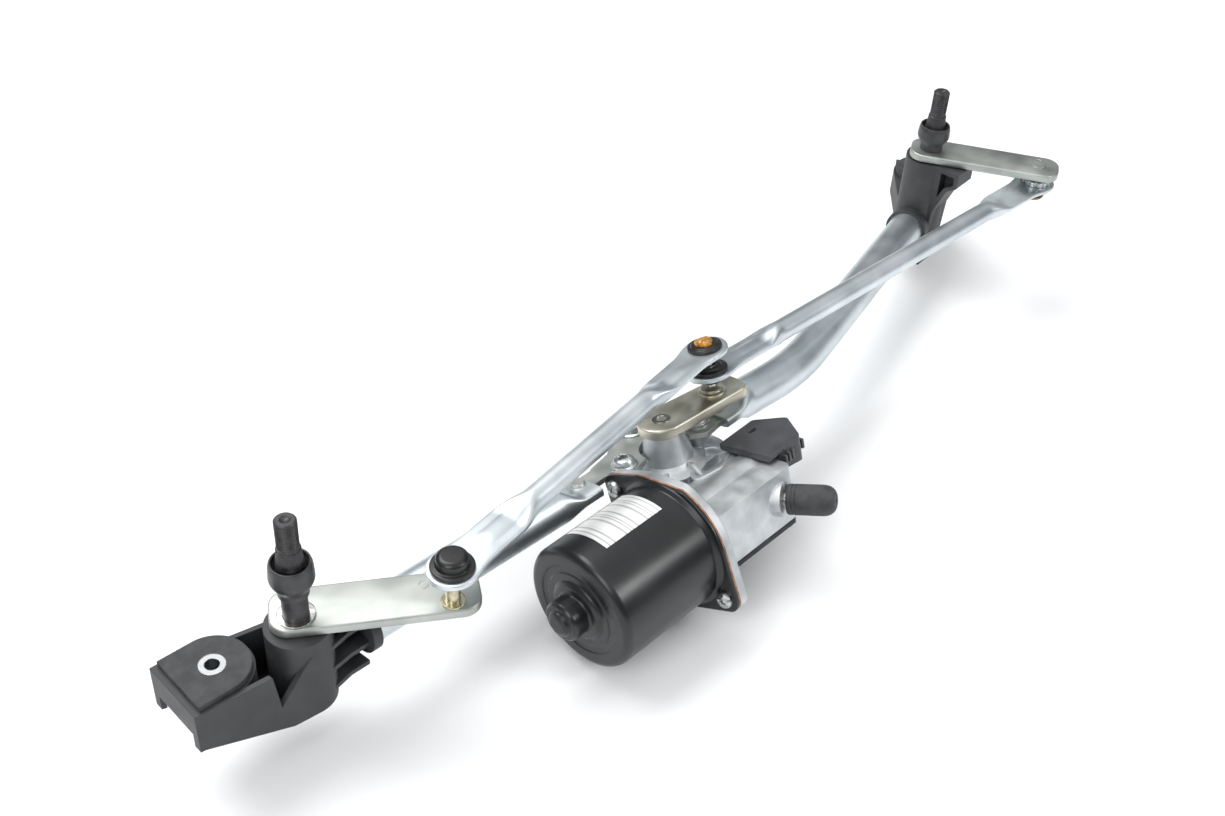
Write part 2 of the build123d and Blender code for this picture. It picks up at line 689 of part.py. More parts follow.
with BuildPart() as crank_stub:
    with BuildSketch(motor.offset(-MOTOR_CRANK_THICK - 0.3)):
        with Locations((crank_pin.X, crank_pin.Y)):
            Circle(4.0)
    extrude(amount=MOTOR_CRANK_THICK + 0.3 + stub_top)
    with BuildSketch(motor):
        with Locations((crank_pin.X, crank_pin.Y)):
            Circle(7.6)
    extrude(amount=1.2)
    with BuildSketch(motor.offset(1.8)):
        with Locations((crank_pin.X, crank_pin.Y)):
            Circle(6.2)
    extrude(amount=stub_top - 1.8)

# ---- wiper motor -------------------------------------------------------------------------------
with BuildPart() as motor_can:
    with BuildSketch(across_motor(CAN_FLANGE)):
        Circle(CAN_R)
    extrude(amount=CAN_FACE - CAN_FLANGE)
    fillet(motor_can.faces().sort_by(Axis.X)[0].edges(), 3.0)
    with BuildSketch(across_motor(CAN_FACE)):
        Circle(13.5)
    extrude(amount=-2.0)
    with BuildSketch(across_motor(CAN_FACE - 2.0)):
        Circle(10.5)
    extrude(amount=-10.0)
    with BuildSketch(across_motor(CAN_FACE - 12.0)):
        Circle(6.5)
    extrude(amount=-2.4, taper=40)
    with BuildSketch(across_motor(CAN_FLANGE)):
        motor_flange(37.0, 7.6)
    extrude(amount=-2.0)
    with BuildSketch(across_motor(CAN_FLANGE)):
        Circle(CAN_R - CAN_WALL)
    extrude(amount=CAN_FACE - CAN_FLANGE + CAN_WALL, mode=Mode.SUBTRACT)
    with BuildSketch(across_motor(CAN_FLANGE)):
        Circle(6.5)
    extrude(amount=CAN_FACE - CAN_FLANGE - 7.0, mode=Mode.SUBTRACT)
    with BuildSketch(across_motor(CAN_FLANGE)):
        with Locations((33.0, 22.0), (-33.0, -22.0)):
            Circle(2.2)
    extrude(amount=-2.0, mode=Mode.SUBTRACT)

with BuildPart() as motor_gasket:
    with BuildSketch(across_motor(CAN_FLANGE)):
        motor_flange(36.6, 7.4)
        Circle(20.0, mode=Mode.SUBTRACT)
        with Locations((33.0, 22.0), (-33.0, -22.0)):
            Circle(2.2, mode=Mode.SUBTRACT)
    extrude(amount=GASKET_THICK)

with BuildPart() as motor_screws:
    with BuildSketch(across_motor(CAN_FLANGE - 2.0)):
        with Locations((33.0, 22.0), (-33.0, -22.0)):
            Circle(4.4)
    extrude(amount=-3.2)
    with BuildSketch(across_motor(CAN_FLANGE - 2.0)):
        with Locations((33.0, 22.0), (-33.0, -22.0)):
            Circle(2.2)
    extrude(amount=12.0)

with BuildPart() as end_bearing:
    with BuildSketch(across_motor(CAN_FACE - 7.0)):
        Circle(6.5)
        Circle(3.0 + RUNNING_CLEARANCE, mode=Mode.SUBTRACT)
    extrude(amount=8.0)

with BuildPart() as front_bearing:
    with BuildSketch(across_motor(-36.0)):
        Circle(6.4)
        Circle(3.0 + RUNNING_CLEARANCE, mode=Mode.SUBTRACT)
    extrude(amount=7.0)
    with BuildSketch(across_motor(24.0)):
        Circle(6.4)
    extrude(amount=3.4)

with BuildPart() as field_magnets:
    with BuildSketch(across_motor(-98.0)):
        Circle(CAN_R - CAN_WALL)
        Circle(24.0, mode=Mode.SUBTRACT)
        Rectangle(80.0, 22.0, mode=Mode.SUBTRACT)
    extrude(amount=38.0)

with BuildPart() as brush_holder:
    with BuildSketch(across_motor(-46.0)):
        Circle(CAN_R - CAN_WALL)
        Circle(12.0, mode=Mode.SUBTRACT)
    extrude(amount=3.0)
    with BuildSketch(across_motor(-52.0)):
        with Locations((0, 16.5), (0, -16.5)):
            Rectangle(9.0, 11.0)
            Rectangle(6.0, 13.0, mode=Mode.SUBTRACT)
    extrude(amount=6.0)

with BuildPart() as carbon_brushes:
    with BuildSketch(across_motor(-52.0)):
        with Locations((0, 15.6), (0, -15.6)):
            Rectangle(6.0, 11.6)
    extrude(amount=6.0)

with BuildPart() as armature_shaft:
    with BuildSketch(across_motor(CAN_FACE - 5.5)):
        Circle(3.0)
    extrude(amount=-CAN_FACE + 5.5 + 23.7)
    with BuildSketch(across_motor(-20.0)):
        Circle(WORM_R - 1.2)
    extrude(amount=40.0)
    for index in range(13):
        with BuildSketch(across_motor(-19.0 + 3.0 * index)):
            Circle(WORM_R - 1.2)
        extrude(amount=1.4, taper=-38)

with BuildPart() as armature_core:
    with BuildSketch(across_motor(-95.0)):
        Circle(22.8)
        with PolarLocations(19.0, 10):
            Rectangle(9.0, 2.4, mode=Mode.SUBTRACT)
        Circle(3.0, mode=Mode.SUBTRACT)
    extrude(amount=34.0)

with BuildPart() as armature_winding:
    with BuildSketch(across_motor(-101.0)):
        Circle(18.0)
        Circle(6.6, mode=Mode.SUBTRACT)
    extrude(amount=6.0)
    with BuildSketch(across_motor(-61.0)):
        Circle(18.0)
        Circle(3.0, mode=Mode.SUBTRACT)
    extrude(amount=6.0)

with BuildPart() as commutator:
    with BuildSketch(across_motor(-55.0)):
        Circle(9.7)
        with PolarLocations(9.7, 10):
            Rectangle(1.6, 0.8, mode=Mode.SUBTRACT)
        Circle(3.0, mode=Mode.SUBTRACT)
    extrude(amount=11.0)

with BuildPart() as motor_label:
    with BuildSketch(across_motor(-90.0)):
        Circle(CAN_R + 0.2)
        Circle(CAN_R, mode=Mode.SUBTRACT)
        with BuildLine():
            Polyline(
                (0, 0),
                (60 * cos(radians(62)), 60 * sin(radians(62))),
                (60 * cos(radians(112)), 60 * sin(radians(112))),
                close=True,
            )
        make_face(mode=Mode.INTERSECT)
    extrude(amount=38.0)

# ---- rubber rest and connector -----------------------------------------------------------------
with BuildPart() as rest_pin:
    with BuildSketch(rest_plane.offset(-6.0)):
        Circle(4.0)
    extrude(amount=26.0)

with BuildPart() as rubber_rest:
    with BuildSketch(rest_plane):
        Circle(8.0)
    extrude(amount=24.5)
    fillet(rubber_rest.faces().sort_by(Axis(rest_plane.origin, rest_plane.z_dir))[-1].edges(), 3.0)
    with BuildSketch(rest_plane):
        Circle(4.0)
    extrude(amount=20.0, mode=Mode.SUBTRACT)

with BuildPart() as connector_housing:
    with BuildSketch(motor.offset(-36.0)) as shell:
        with BuildLine():
            Polyline((20, -19), (47.1, -20.2), (57.2, -35.9), (44.3, -53.1), (34.3, -50.5), (20, -50.5),
                     close=True)
        make_face()
        fillet(shell.vertices().sort_by(Axis.X)[2:], 3.0)
    extrude(amount=14.6)
    # step that sits over the gearbox
    with BuildSketch(motor.offset(-40.0)):
        with Locations((12.0, -35.0)):
            Rectangle(34.8, 60.0)
    extrude(amount=14.8, mode=Mode.SUBTRACT)
    # plug opening with the terminal block left inside
    mouth = Plane(
        origin=motor.from_local_coords(Vector(60.0, -36.0, -28.7)),
        x_dir=motor.y_dir,
        z_dir=(1, 0, 0),
    )
    with BuildSketch(mouth):
        RectangleRounded(24.0, 10.6, 1.5)
    extrude(amount=-24.0, mode=Mode.SUBTRACT)
    with BuildSketch(motor.offset(-10.0)):
        with Locations((38.0, -27.0)):
            SlotOverall(6.0, 2.4)
    extrude(amount=-13.5, mode=Mode.SUBTRACT)

with BuildPart() as connector_terminals:
    with BuildSketch(mouth.offset(-24.0)):
        with GridLocations(5.0, 0, 4, 1):
            Rectangle(2.4, 0.8)
    extrude(amount=16.0)


# ---- links -------------------------------------------------------------------------------------
def rod_end(centre, heading, up, seat):
    """Pinched end of a link tube with the eye round its socket."""
    flat = facing(centre + heading * 24.0, heading, up)
    lie = facing(centre, up - heading * up.dot(heading), heading)
    with BuildPart() as end:
        with BuildSketch(flat):
            RectangleRounded(ROD_FLAT_WIDTH, ROD_FLAT, ROD_FLAT / 2 - 0.05)
        with BuildSketch(facing(centre + heading * 44.0, heading, up)):
            Circle(ROD_R)
        loft()
        with BuildSketch(flat):
            RectangleRounded(ROD_FLAT_WIDTH, ROD_FLAT, ROD_FLAT / 2 - 0.05)
        extrude(amount=-17.0)
        with BuildSketch(lie.offset(-ROD_FLAT / 2)):
            Circle(ROD_EYE_R)
        extrude(amount=ROD_FLAT)
        with BuildSketch(lie.offset(-ROD_FLAT)):
            Circle(seat)
        extrude(amount=2 * ROD_FLAT, mode=Mode.SUBTRACT)
    return end.part


def link_rod(start, start_up, end, end_up, start_seat, end_seat):
    """Round tube pinched flat at both ends, with an eye round each socket."""
    along = (end - start).normalized()
    with BuildPart() as rod:
        with BuildSketch(facing(start + along * 43.0, along, start_up)):
            Circle(ROD_R)
            Circle(ROD_R - ROD_WALL, mode=Mode.SUBTRACT)
        extrude(amount=(end - start).length - 86.0)
        add(rod_end(start, along, start_up, start_seat))
        add(rod_end(end, -along, end_up, end_seat))
    return rod


def eye_up(ball, other, up):
    """Normal of a link's eye: square to the link and as near to the stud as that allows."""
    heading = (other - ball).normalized()
    return (up - heading * up.dot(heading)).normalized()


def socket(ball, up, profile):
    """Moulded ball socket turned about its stud from (radius, height) points."""
    side = Plane(origin=ball, z_dir=up).x_dir
    with BuildPart() as cup:
        with BuildSketch(Plane(origin=ball, x_dir=side, z_dir=side.cross(up))):
            with BuildLine():
                Polyline(*profile, close=True)
            make_face()
        revolve(axis=Axis(ball, up))
    return cup


def cut_ball(cup, ball, radius):
    """The socket with its ball seat cut out."""
    with BuildPart() as result:
        add(cup.part)
        with Locations(ball):
            Sphere(radius, mode=Mode.SUBTRACT)
    return result


up_near = Vector(0, 0, 1)
up_motor = Vector(*motor.z_dir)
near_link_rod = link_rod(near_ball, up_near, upper_ball, up_motor, SOCKET_BODY_R, SOCKET_BODY_R)
far_link_rod = link_rod(lower_ball, up_motor, far_ball, up_near, SOCKET_BODY_R, SOCKET_BODY_R)
seat_r = BALL_R + RUNNING_CLEARANCE
half_flat = ROD_FLAT / 2

near_link_cap = cut_ball(
    socket(
        near_ball,
        eye_up(near_ball, upper_ball, up_near),
        [(0, 9.0), (5.2, 9.0), (SOCKET_BODY_R, 7.0), (SOCKET_BODY_R, half_flat + 1.8),
         (SOCKET_FLANGE_R, half_flat + 1.8), (SOCKET_FLANGE_R, half_flat), (SOCKET_BODY_R, half_flat),
         (SOCKET_BODY_R, -4.4), (6.6, -5.2), (4.6, -5.2), (4.6, 0), (0, 0)],
    ),
    near_ball,
    seat_r,
)
far_link_boot = cut_ball(
    socket(
        far_ball,
        eye_up(far_ball, lower_ball, up_near),
        [(0, -8.6), (5.0, -8.6), (SOCKET_BODY_R, -7.0), (SOCKET_BODY_R, -half_flat - 1.8),
         (SOCKET_FLANGE_R, -half_flat - 1.8), (SOCKET_FLANGE_R, -half_flat), (SOCKET_BODY_R, -half_flat),
         (SOCKET_BODY_R, 3.6), (6.4, 4.6), (4.6, 4.6), (4.6, 0), (0, 0)],
    ),
    far_ball,
    seat_r,
)
near_link_socket = cut_ball(
    socket(
        upper_ball,
        eye_up(upper_ball, near_ball, up_motor),
        [(2.4, 4.0), (6.2, 4.0), (SOCKET_BODY_R, 3.0), (SOCKET_BODY_R, half_flat + 1.6),
         (SOCKET_FLANGE_R - 1.0, half_flat + 1.6), (SOCKET_FLANGE_R - 1.0, half_flat),
         (SOCKET_BODY_R, half_flat), (SOCKET_BODY_R, -3.8), (6.4, -4.8), (4.2, -4.8)],
    ),
    upper_ball,
    BALL_R,
)
far_link_socket = cut_ball(
    socket(
        lower_ball,
        eye_up(lower_ball, far_ball, up_motor),
        [(3.9, 4.4), (6.4, 4.4), (SOCKET_BODY_R, 3.4), (SOCKET_BODY_R, half_flat + 1.6),
         (SOCKET_FLANGE_R, half_flat + 1.6), (SOCKET_FLANGE_R, half_flat), (SOCKET_BODY_R, half_flat),
         (SOCKET_BODY_R, -3.8), (6.4, -4.6), (4.6, -4.6)],
    ),
    lower_ball,
    BALL_R,
)

with BuildPart() as crank_upper_ball:
    with Locations(upper_ball):
        Sphere(BALL_R)
    with BuildSketch(Plane(origin=upper_ball, z_dir=up_motor)):
        Circle(3.2)
    extrude(amount=-(UPPER_BALL_W - LOWER_BALL_W) + 5.8)

with BuildPart() as crank_lower_ball:
    with Locations(lower_ball):
        Sphere(BALL_R)
    with BuildSketch(Plane(origin=lower_ball, z_dir=up_motor)):
        Circle(3.4)
    extrude(amount=-(LOWER_BALL_W - stub_top) + 1.2)
    with BuildSketch(Plane(origin=lower_ball, z_dir=up_motor)):
        Circle(3.2)
    extrude(amount=5.6)

# ---- files -------------------------------------------------------------------------------------
pieces = {
    "near_spindle": near_spindle,
    "near_collar_cap": near_collar_cap,
    "near_crank_plate": near_crank_plate,
    "near_ball_stud": near_ball_stud,
    "near_seat_ring": near_seat_ring,
    "near_retaining_ring": near_retaining_ring,
    "near_bearing_bush": near_bearing_bush,
    "near_bracket": near_bracket,
    "near_grommet": near_grommet,
    "near_grommet_sleeve": near_grommet_sleeve,
    "near_frame_tube": near_frame_tube,
    "far_spindle": far_spindle,
    "far_collar_cap": far_collar_cap,
    "far_crank_plate": far_crank_plate,
    "far_ball_stud": far_ball_stud,
    "far_retaining_ring": far_retaining_ring,
    "far_bearing_bush": far_bearing_bush,
    "far_bracket": far_bracket,
    "far_grommet": far_grommet,
    "far_grommet_sleeve": far_grommet_sleeve,
    "far_frame_tube": far_frame_tube,
    "tube_pins": tube_pins,
    "motor_mount_plate": motor_mount_plate,
    "mount_bolts": mount_bolts,
    "gearbox_housing": gearbox_housing,
    "gearbox_cover": gearbox_cover,
    "cover_seal": cover_seal,
    "cover_screws": cover_screws,
    "output_bush": output_bush,
    "output_shaft": output_shaft,
    "worm_wheel": worm_wheel,
    "motor_crank": motor_crank,
    "crank_stub": crank_stub,
    "motor_can": motor_can,
    "motor_gasket": motor_gasket,
    "motor_screws": motor_screws,
    "motor_label": motor_label,
    "end_bearing": end_bearing,
    "front_bearing": front_bearing,
    "field_magnets": field_magnets,
    "brush_holder": brush_holder,
    "carbon_brushes": carbon_brushes,
    "armature_shaft": armature_shaft,
    "armature_core": armature_core,
    "armature_winding": armature_winding,
    "commutator": commutator,
    "rest_pin": rest_pin,
    "rubber_rest": rubber_rest,
    "connector_housing": connector_housing,
    "connector_terminals": connector_terminals,
    "near_link_rod": near_link_rod,
    "near_link_cap": near_link_cap,
    "near_link_socket": near_link_socket,
    "crank_upper_ball": crank_upper_ball,
    "far_link_rod": far_link_rod,
    "far_link_boot": far_link_boot,
    "far_link_socket": far_link_socket,
    "crank_lower_ball": crank_lower_ball,
}
os.makedirs("parts", exist_ok=True)
for name, piece in pieces.items():
    piece.part.label = name
    export_step(piece.part, f"parts/{name}.step")
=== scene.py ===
import json
from math import cos, pi, radians, sin

import bmesh
import bpy
import numpy as np
from mathutils import Matrix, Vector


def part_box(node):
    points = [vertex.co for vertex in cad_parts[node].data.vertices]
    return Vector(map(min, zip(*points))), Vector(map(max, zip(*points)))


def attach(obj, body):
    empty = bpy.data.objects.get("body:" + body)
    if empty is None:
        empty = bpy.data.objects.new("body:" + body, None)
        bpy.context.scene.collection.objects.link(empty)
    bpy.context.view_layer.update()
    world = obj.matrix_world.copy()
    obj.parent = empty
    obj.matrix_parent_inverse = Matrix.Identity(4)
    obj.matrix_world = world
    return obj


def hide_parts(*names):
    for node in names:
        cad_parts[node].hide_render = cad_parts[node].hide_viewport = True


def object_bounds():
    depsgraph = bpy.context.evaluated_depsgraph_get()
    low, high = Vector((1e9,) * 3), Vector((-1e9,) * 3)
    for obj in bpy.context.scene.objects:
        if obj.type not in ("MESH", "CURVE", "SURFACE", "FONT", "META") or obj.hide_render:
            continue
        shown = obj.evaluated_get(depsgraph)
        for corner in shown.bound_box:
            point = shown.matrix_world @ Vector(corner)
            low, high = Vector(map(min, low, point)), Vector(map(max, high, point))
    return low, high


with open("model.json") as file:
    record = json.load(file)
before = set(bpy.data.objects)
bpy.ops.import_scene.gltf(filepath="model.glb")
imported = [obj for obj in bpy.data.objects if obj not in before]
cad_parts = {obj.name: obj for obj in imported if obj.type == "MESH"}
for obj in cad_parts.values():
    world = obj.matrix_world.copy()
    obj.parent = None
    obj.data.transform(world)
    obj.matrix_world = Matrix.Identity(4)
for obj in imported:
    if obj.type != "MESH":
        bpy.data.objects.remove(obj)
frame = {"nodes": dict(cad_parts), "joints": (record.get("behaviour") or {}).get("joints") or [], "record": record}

bl_info = {
    "name": "Wiper Drive Linkage",
    "version": (1, 0, 0),
    "blender": (4, 5, 0),
    "location": "3D View > Sidebar > Wiper",
    "description": "Detailed surfaces and finishes for a car's windscreen wiper linkage",
    "category": "Add Mesh",
}

CAD_BOX = [list(corner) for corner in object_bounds()]
JOINTS = {joint["name"]: joint for joint in frame["joints"]}

# ---- places taken from the frame, in millimetres ------------------------------------------------


def joint_point(name):
    """Where a joint's axis stands, in millimetres."""
    return np.array(JOINTS[name]["pos_m"]) * 1000


def unit(vector):
    """The same direction with a length of 1."""
    vector = np.asarray(vector, float)
    return vector / np.linalg.norm(vector)


UP = np.array([0.0, 0.0, 1.0])
MOTOR_AT = joint_point("crank_turn")
MOTOR_W = -unit(JOINTS["crank_turn"]["axis"])
MOTOR_U = np.array([1.0, 0.0, 0.0])
MOTOR_V = np.cross(MOTOR_W, MOTOR_U)
ARMATURE_AT = joint_point("armature_spin")
ARMATURE_AXIS = unit(JOINTS["armature_spin"]["axis"])
ARMATURE_SIDE = np.cross(MOTOR_W, ARMATURE_AXIS)
NEAR_AT = np.array([0.0, 0.0, 0.0])
FAR_AT = np.array([joint_point("far_swing")[0], 0.0, 0.0])
NEAR_BALL = joint_point("near_link_turn")
FAR_BALL = joint_point("far_link_turn")


def motor_point(u, v, w):
    """Point given along the gearbox output shaft's own three directions."""
    return MOTOR_AT + u * MOTOR_U + v * MOTOR_V + w * MOTOR_W


CRANK_THROW = 34.9
CRANK_ANGLE = -12.0
CRANK_PIN = (CRANK_THROW * cos(radians(CRANK_ANGLE)), CRANK_THROW * sin(radians(CRANK_ANGLE)))
UPPER_BALL = motor_point(*CRANK_PIN, 24.7)
LOWER_BALL = motor_point(*CRANK_PIN, 11.7)

# Levels and outlines that several pieces share, in millimetres; the can's are along the armature's axis.
CAN_FACE, CAN_FLANGE = -105.0, -38.6
FLANGE_EAR = (33.0, 22.0)
FLANGE_FLAT = 34.0  # the crank passes over this edge
BOLT_SEAT = -16.0
TUBE_SEAT = -17.5
GEARBOX_FACE = -27.0
GEARBOX_TURN = -4.0

# ---- stage, in metres and radians ---------------------------------------------------------------

CAMERA_PITCH, CAMERA_YAW, CAMERA_ROLL = 0.68385547, 0.90906606, -0.06135105
CAMERA_AT = np.array([-275.34, -380.98, 453.41]) * 0.001
LENS_MM, SENSOR_MM = 44.87, 36.0
FLOOR_HALF = 15.0
FLOOR_GAP = 0.0004
LIGHT_AIM = (0.2, -0.05, -0.05)
# name, place, width, share of the key light's power
LIGHTS = (
    ("Key", (0.05, 0.9, 1.5), 1.4, 1.0),
    ("Side", (-1.0, -0.3, 0.9), 0.9, 0.3),
    ("Strip", (0.55, -0.95, 0.6), 0.35, 0.14),
)

# ---- meshes -------------------------------------------------------------------------------------


def finish_mesh(name, verts, faces, crease=40, outward=True):
    """Mesh object from points in millimetres, faces outwards, smooth except along sharp edges."""
    mesh = bpy.data.meshes.new(name)
    mesh.from_pydata((np.asarray(verts) * 0.001).tolist(), [], faces)
    if outward:
        shell = bmesh.new()
        shell.from_mesh(mesh)
        bmesh.ops.remove_doubles(shell, verts=shell.verts, dist=1e-6)
        bmesh.ops.recalc_face_normals(shell, faces=shell.faces)
        shell.to_mesh(mesh)
        shell.free()
    mesh.shade_smooth()
    mesh.set_sharp_from_angle(angle=radians(crease))
    piece = bpy.data.objects.new(name, mesh)
    bpy.context.scene.collection.objects.link(piece)
    return piece


def ring_faces(rows, columns, offset=0):
    """Quads between neighbouring closed rings, as index arithmetic on the whole grid."""
    i, j = np.meshgrid(np.arange(rows - 1), np.arange(columns), indexing="ij")
    k = (j + 1) % columns
    quads = np.stack([i * columns + j, i * columns + k, (i + 1) * columns + k, (i + 1) * columns + j])
    return (quads.reshape(4, -1).T + offset).tolist()


def tube_surface(name, rings, crease=40):
    """Closed skin over rings of points, shaped (rows, columns, 3), with both ends capped."""
    rows, columns = rings.shape[:2]
    verts = np.vstack([rings.reshape(-1, 3), rings[0].mean(0), rings[-1].mean(0)])
    faces = ring_faces(rows, columns)
    j = np.arange(columns)
    k = (j + 1) % columns
    last = rows * columns
    faces += np.stack([k, j, np.full(columns, last)], 1).tolist()
    top = (rows - 1) * columns
    faces += np.stack([top + j, top + k, np.full(columns, last + 1)], 1).tolist()
    return finish_mesh(name, verts, faces, crease)


def axes_for(direction, lean=(1.0, 0.0, 0.0)):
    """Two unit vectors square to a direction; the first leans towards the given one."""
    direction = unit(direction)
    lean = np.asarray(lean, float)
    first = unit(lean - direction * (lean @ direction))
    return first, np.cross(direction, first)


def turned(name, at, axis, profile, segments=72, shape=None, crease=35):
    """Lathe surface: radius r and height h follow the profile, points are at + r(cos a, sin a) + h.
    shape(angle, height, radius) may change the radius, as for threads, ribs and splines."""
    profile = np.asarray(profile, float)
    side, other = axes_for(axis, (1, 0, 0) if abs(unit(axis)[0]) < 0.9 else (0, 1, 0))
    angle = np.linspace(0, 2 * pi, segments, endpoint=False)
    radius = np.repeat(profile[:, :1], segments, 1)
    height = np.repeat(profile[:, 1:2], segments, 1)
    if shape is not None:
        radius = shape(angle[None, :], height, radius)
    rings = (
        np.asarray(at)
        + radius[..., None] * (np.cos(angle)[None, :, None] * side + np.sin(angle)[None, :, None] * other)
        + height[..., None] * unit(axis)
    )
    return tube_surface(name, rings, crease)


def rounded(points, radius, steps=4, share=0.45):
    """Line with each inner corner made a parabola, (1-t)^2 start + 2 t (1-t) corner + t^2 end. It starts and
    ends at the radius from the corner, or at this share of the shorter side."""
    points = np.asarray(points, float)
    sides = np.diff(points, axis=0)
    length = np.linalg.norm(sides, axis=1)[:, None]
    corner = points[1:-1]
    reach = np.minimum(radius, share * np.minimum(length[:-1], length[1:]))
    start = corner - reach * sides[:-1] / length[:-1]
    end = corner + reach * sides[1:] / length[1:]
    t = np.linspace(0, 1, steps + 1)[:, None]
    arcs = (1 - t) ** 2 * start[:, None] + 2 * t * (1 - t) * corner[:, None] + t**2 * end[:, None]
    return np.vstack([points[:1], arcs.reshape(-1, points.shape[1]), points[-1:]])


def run_along(name, centres, wide, tall, half_width, half_height, corner, columns=56, crease=45, bead=None):
    """Skin of superellipse sections |x/a|^n + |y/b|^n = 1 carried along a line of centres.
    A bead lifts both faces by its height times exp(-(x / 3.4 mm)^4), as a pressed tube keeps a ridge."""
    angle = np.linspace(0, 2 * pi, columns, endpoint=False)
    power = 2.0 / np.asarray(corner, float)[:, None]
    x = np.sign(np.cos(angle)) * np.abs(np.cos(angle)) ** power * np.asarray(half_width)[:, None]
    y = np.sign(np.sin(angle)) * np.abs(np.sin(angle)) ** power * np.asarray(half_height)[:, None]
    if bead is not None:
        y = y + np.sign(y) * np.asarray(bead)[:, None] * np.exp(-((x / 3.4) ** 4))
    rings = centres[:, None, :] + x[..., None] * wide[:, None, :] + y[..., None] * tall[:, None, :]
    return tube_surface(name, rings, crease)


def smooth_step(x, low, high):
    """0 below low, 1 above high, with a smooth S between them."""
    t = np.clip((x - low) / (high - low), 0, 1)
    return t * t * (3 - 2 * t)


def plate_surface(name, outline, at, x_dir, y_dir, bottom, top, edge=0.8, crease=50):
    """Pressed plate: a closed outline drawn inwards by a quarter circle at both faces."""
    outline = np.asarray(outline, float)
    ahead = np.roll(outline, -1, 0) - np.roll(outline, 1, 0)
    inward = np.stack([-ahead[:, 1], ahead[:, 0]], 1)
    inward /= np.linalg.norm(inward, axis=1)[:, None]
    a = np.linspace(0, pi / 2, 5)
    inset = np.concatenate([edge * (1 - np.sin(a)), edge * (1 - np.cos(a))])
    level = np.concatenate([bottom + edge * (1 - np.cos(a)), top - edge * (1 - np.sin(a))])
    flat = outline[None] + inset[:, None, None] * inward[None]
    rings = (
        np.asarray(at)
        + flat[..., :1] * np.asarray(x_dir)
        + flat[..., 1:] * np.asarray(y_dir)
        + level[:, None, None] * np.cross(x_dir, y_dir)
    )
    return tube_surface(name, rings, crease)


def convex_outline(circles, count=160):
    """Outline round several circles (x, y, r): the furthest support point in each direction."""
    angle = np.linspace(0, 2 * pi, count, endpoint=False)
    direction = np.stack([np.cos(angle), np.sin(angle)], 1)
    circles = np.asarray(circles, float)
    reach = direction @ circles[:, :2].T + circles[:, 2]
    best = reach.argmax(1)
    points = circles[best, :2] + circles[best, 2:] * direction
    # even spacing along the line, so that straight sides have points too
    closed = np.vstack([points, points[:1]])
    length = np.concatenate([[0], np.cumsum(np.linalg.norm(np.diff(closed, axis=0), axis=1))])
    even = np.linspace(0, length[-1], count, endpoint=False)
    return np.stack([np.interp(even, length, closed[:, 0]), np.interp(even, length, closed[:, 1])], 1)


def join(name, pieces):
    """Several pieces made one object."""
    bpy.ops.object.select_all(action="DESELECT")
    for piece in pieces:
        piece.select_set(True)
    bpy.context.view_layer.objects.active = pieces[0]
    bpy.ops.object.join()
    pieces[0].name = name
    pieces[0].data.name = name
    return pieces[0]


# ---- materials ----------------------------------------------------------------------------------


def linear(hex_colour):
    """sRGB hex to linear RGBA."""
    value = np.array([int(hex_colour[i : i + 2], 16) for i in (0, 2, 4)]) / 255
    value = np.where(value <= 0.04045, value / 12.92, ((value + 0.055) / 1.055) ** 2.4)
    return (*value.tolist(), 1.0)


def add(tree, kind, links=(), **settings):
    """One node with its settings; links are (socket name or number, output socket)."""
    node = tree.nodes.new(kind)
    for key, value in settings.items():
        if key.startswith("in_"):
            node.inputs[key[3:].replace("_", " ")].default_value = value
        else:
            setattr(node, key, value)
    for socket, source in links:
        tree.links.new(source, node.inputs[socket])
    return node


MILLIMETRE = 1000.0  # noise cells per metre for a pattern of one millimetre
EDGE_RADIUS = 0.0006  # broken edges catch a thin line of light

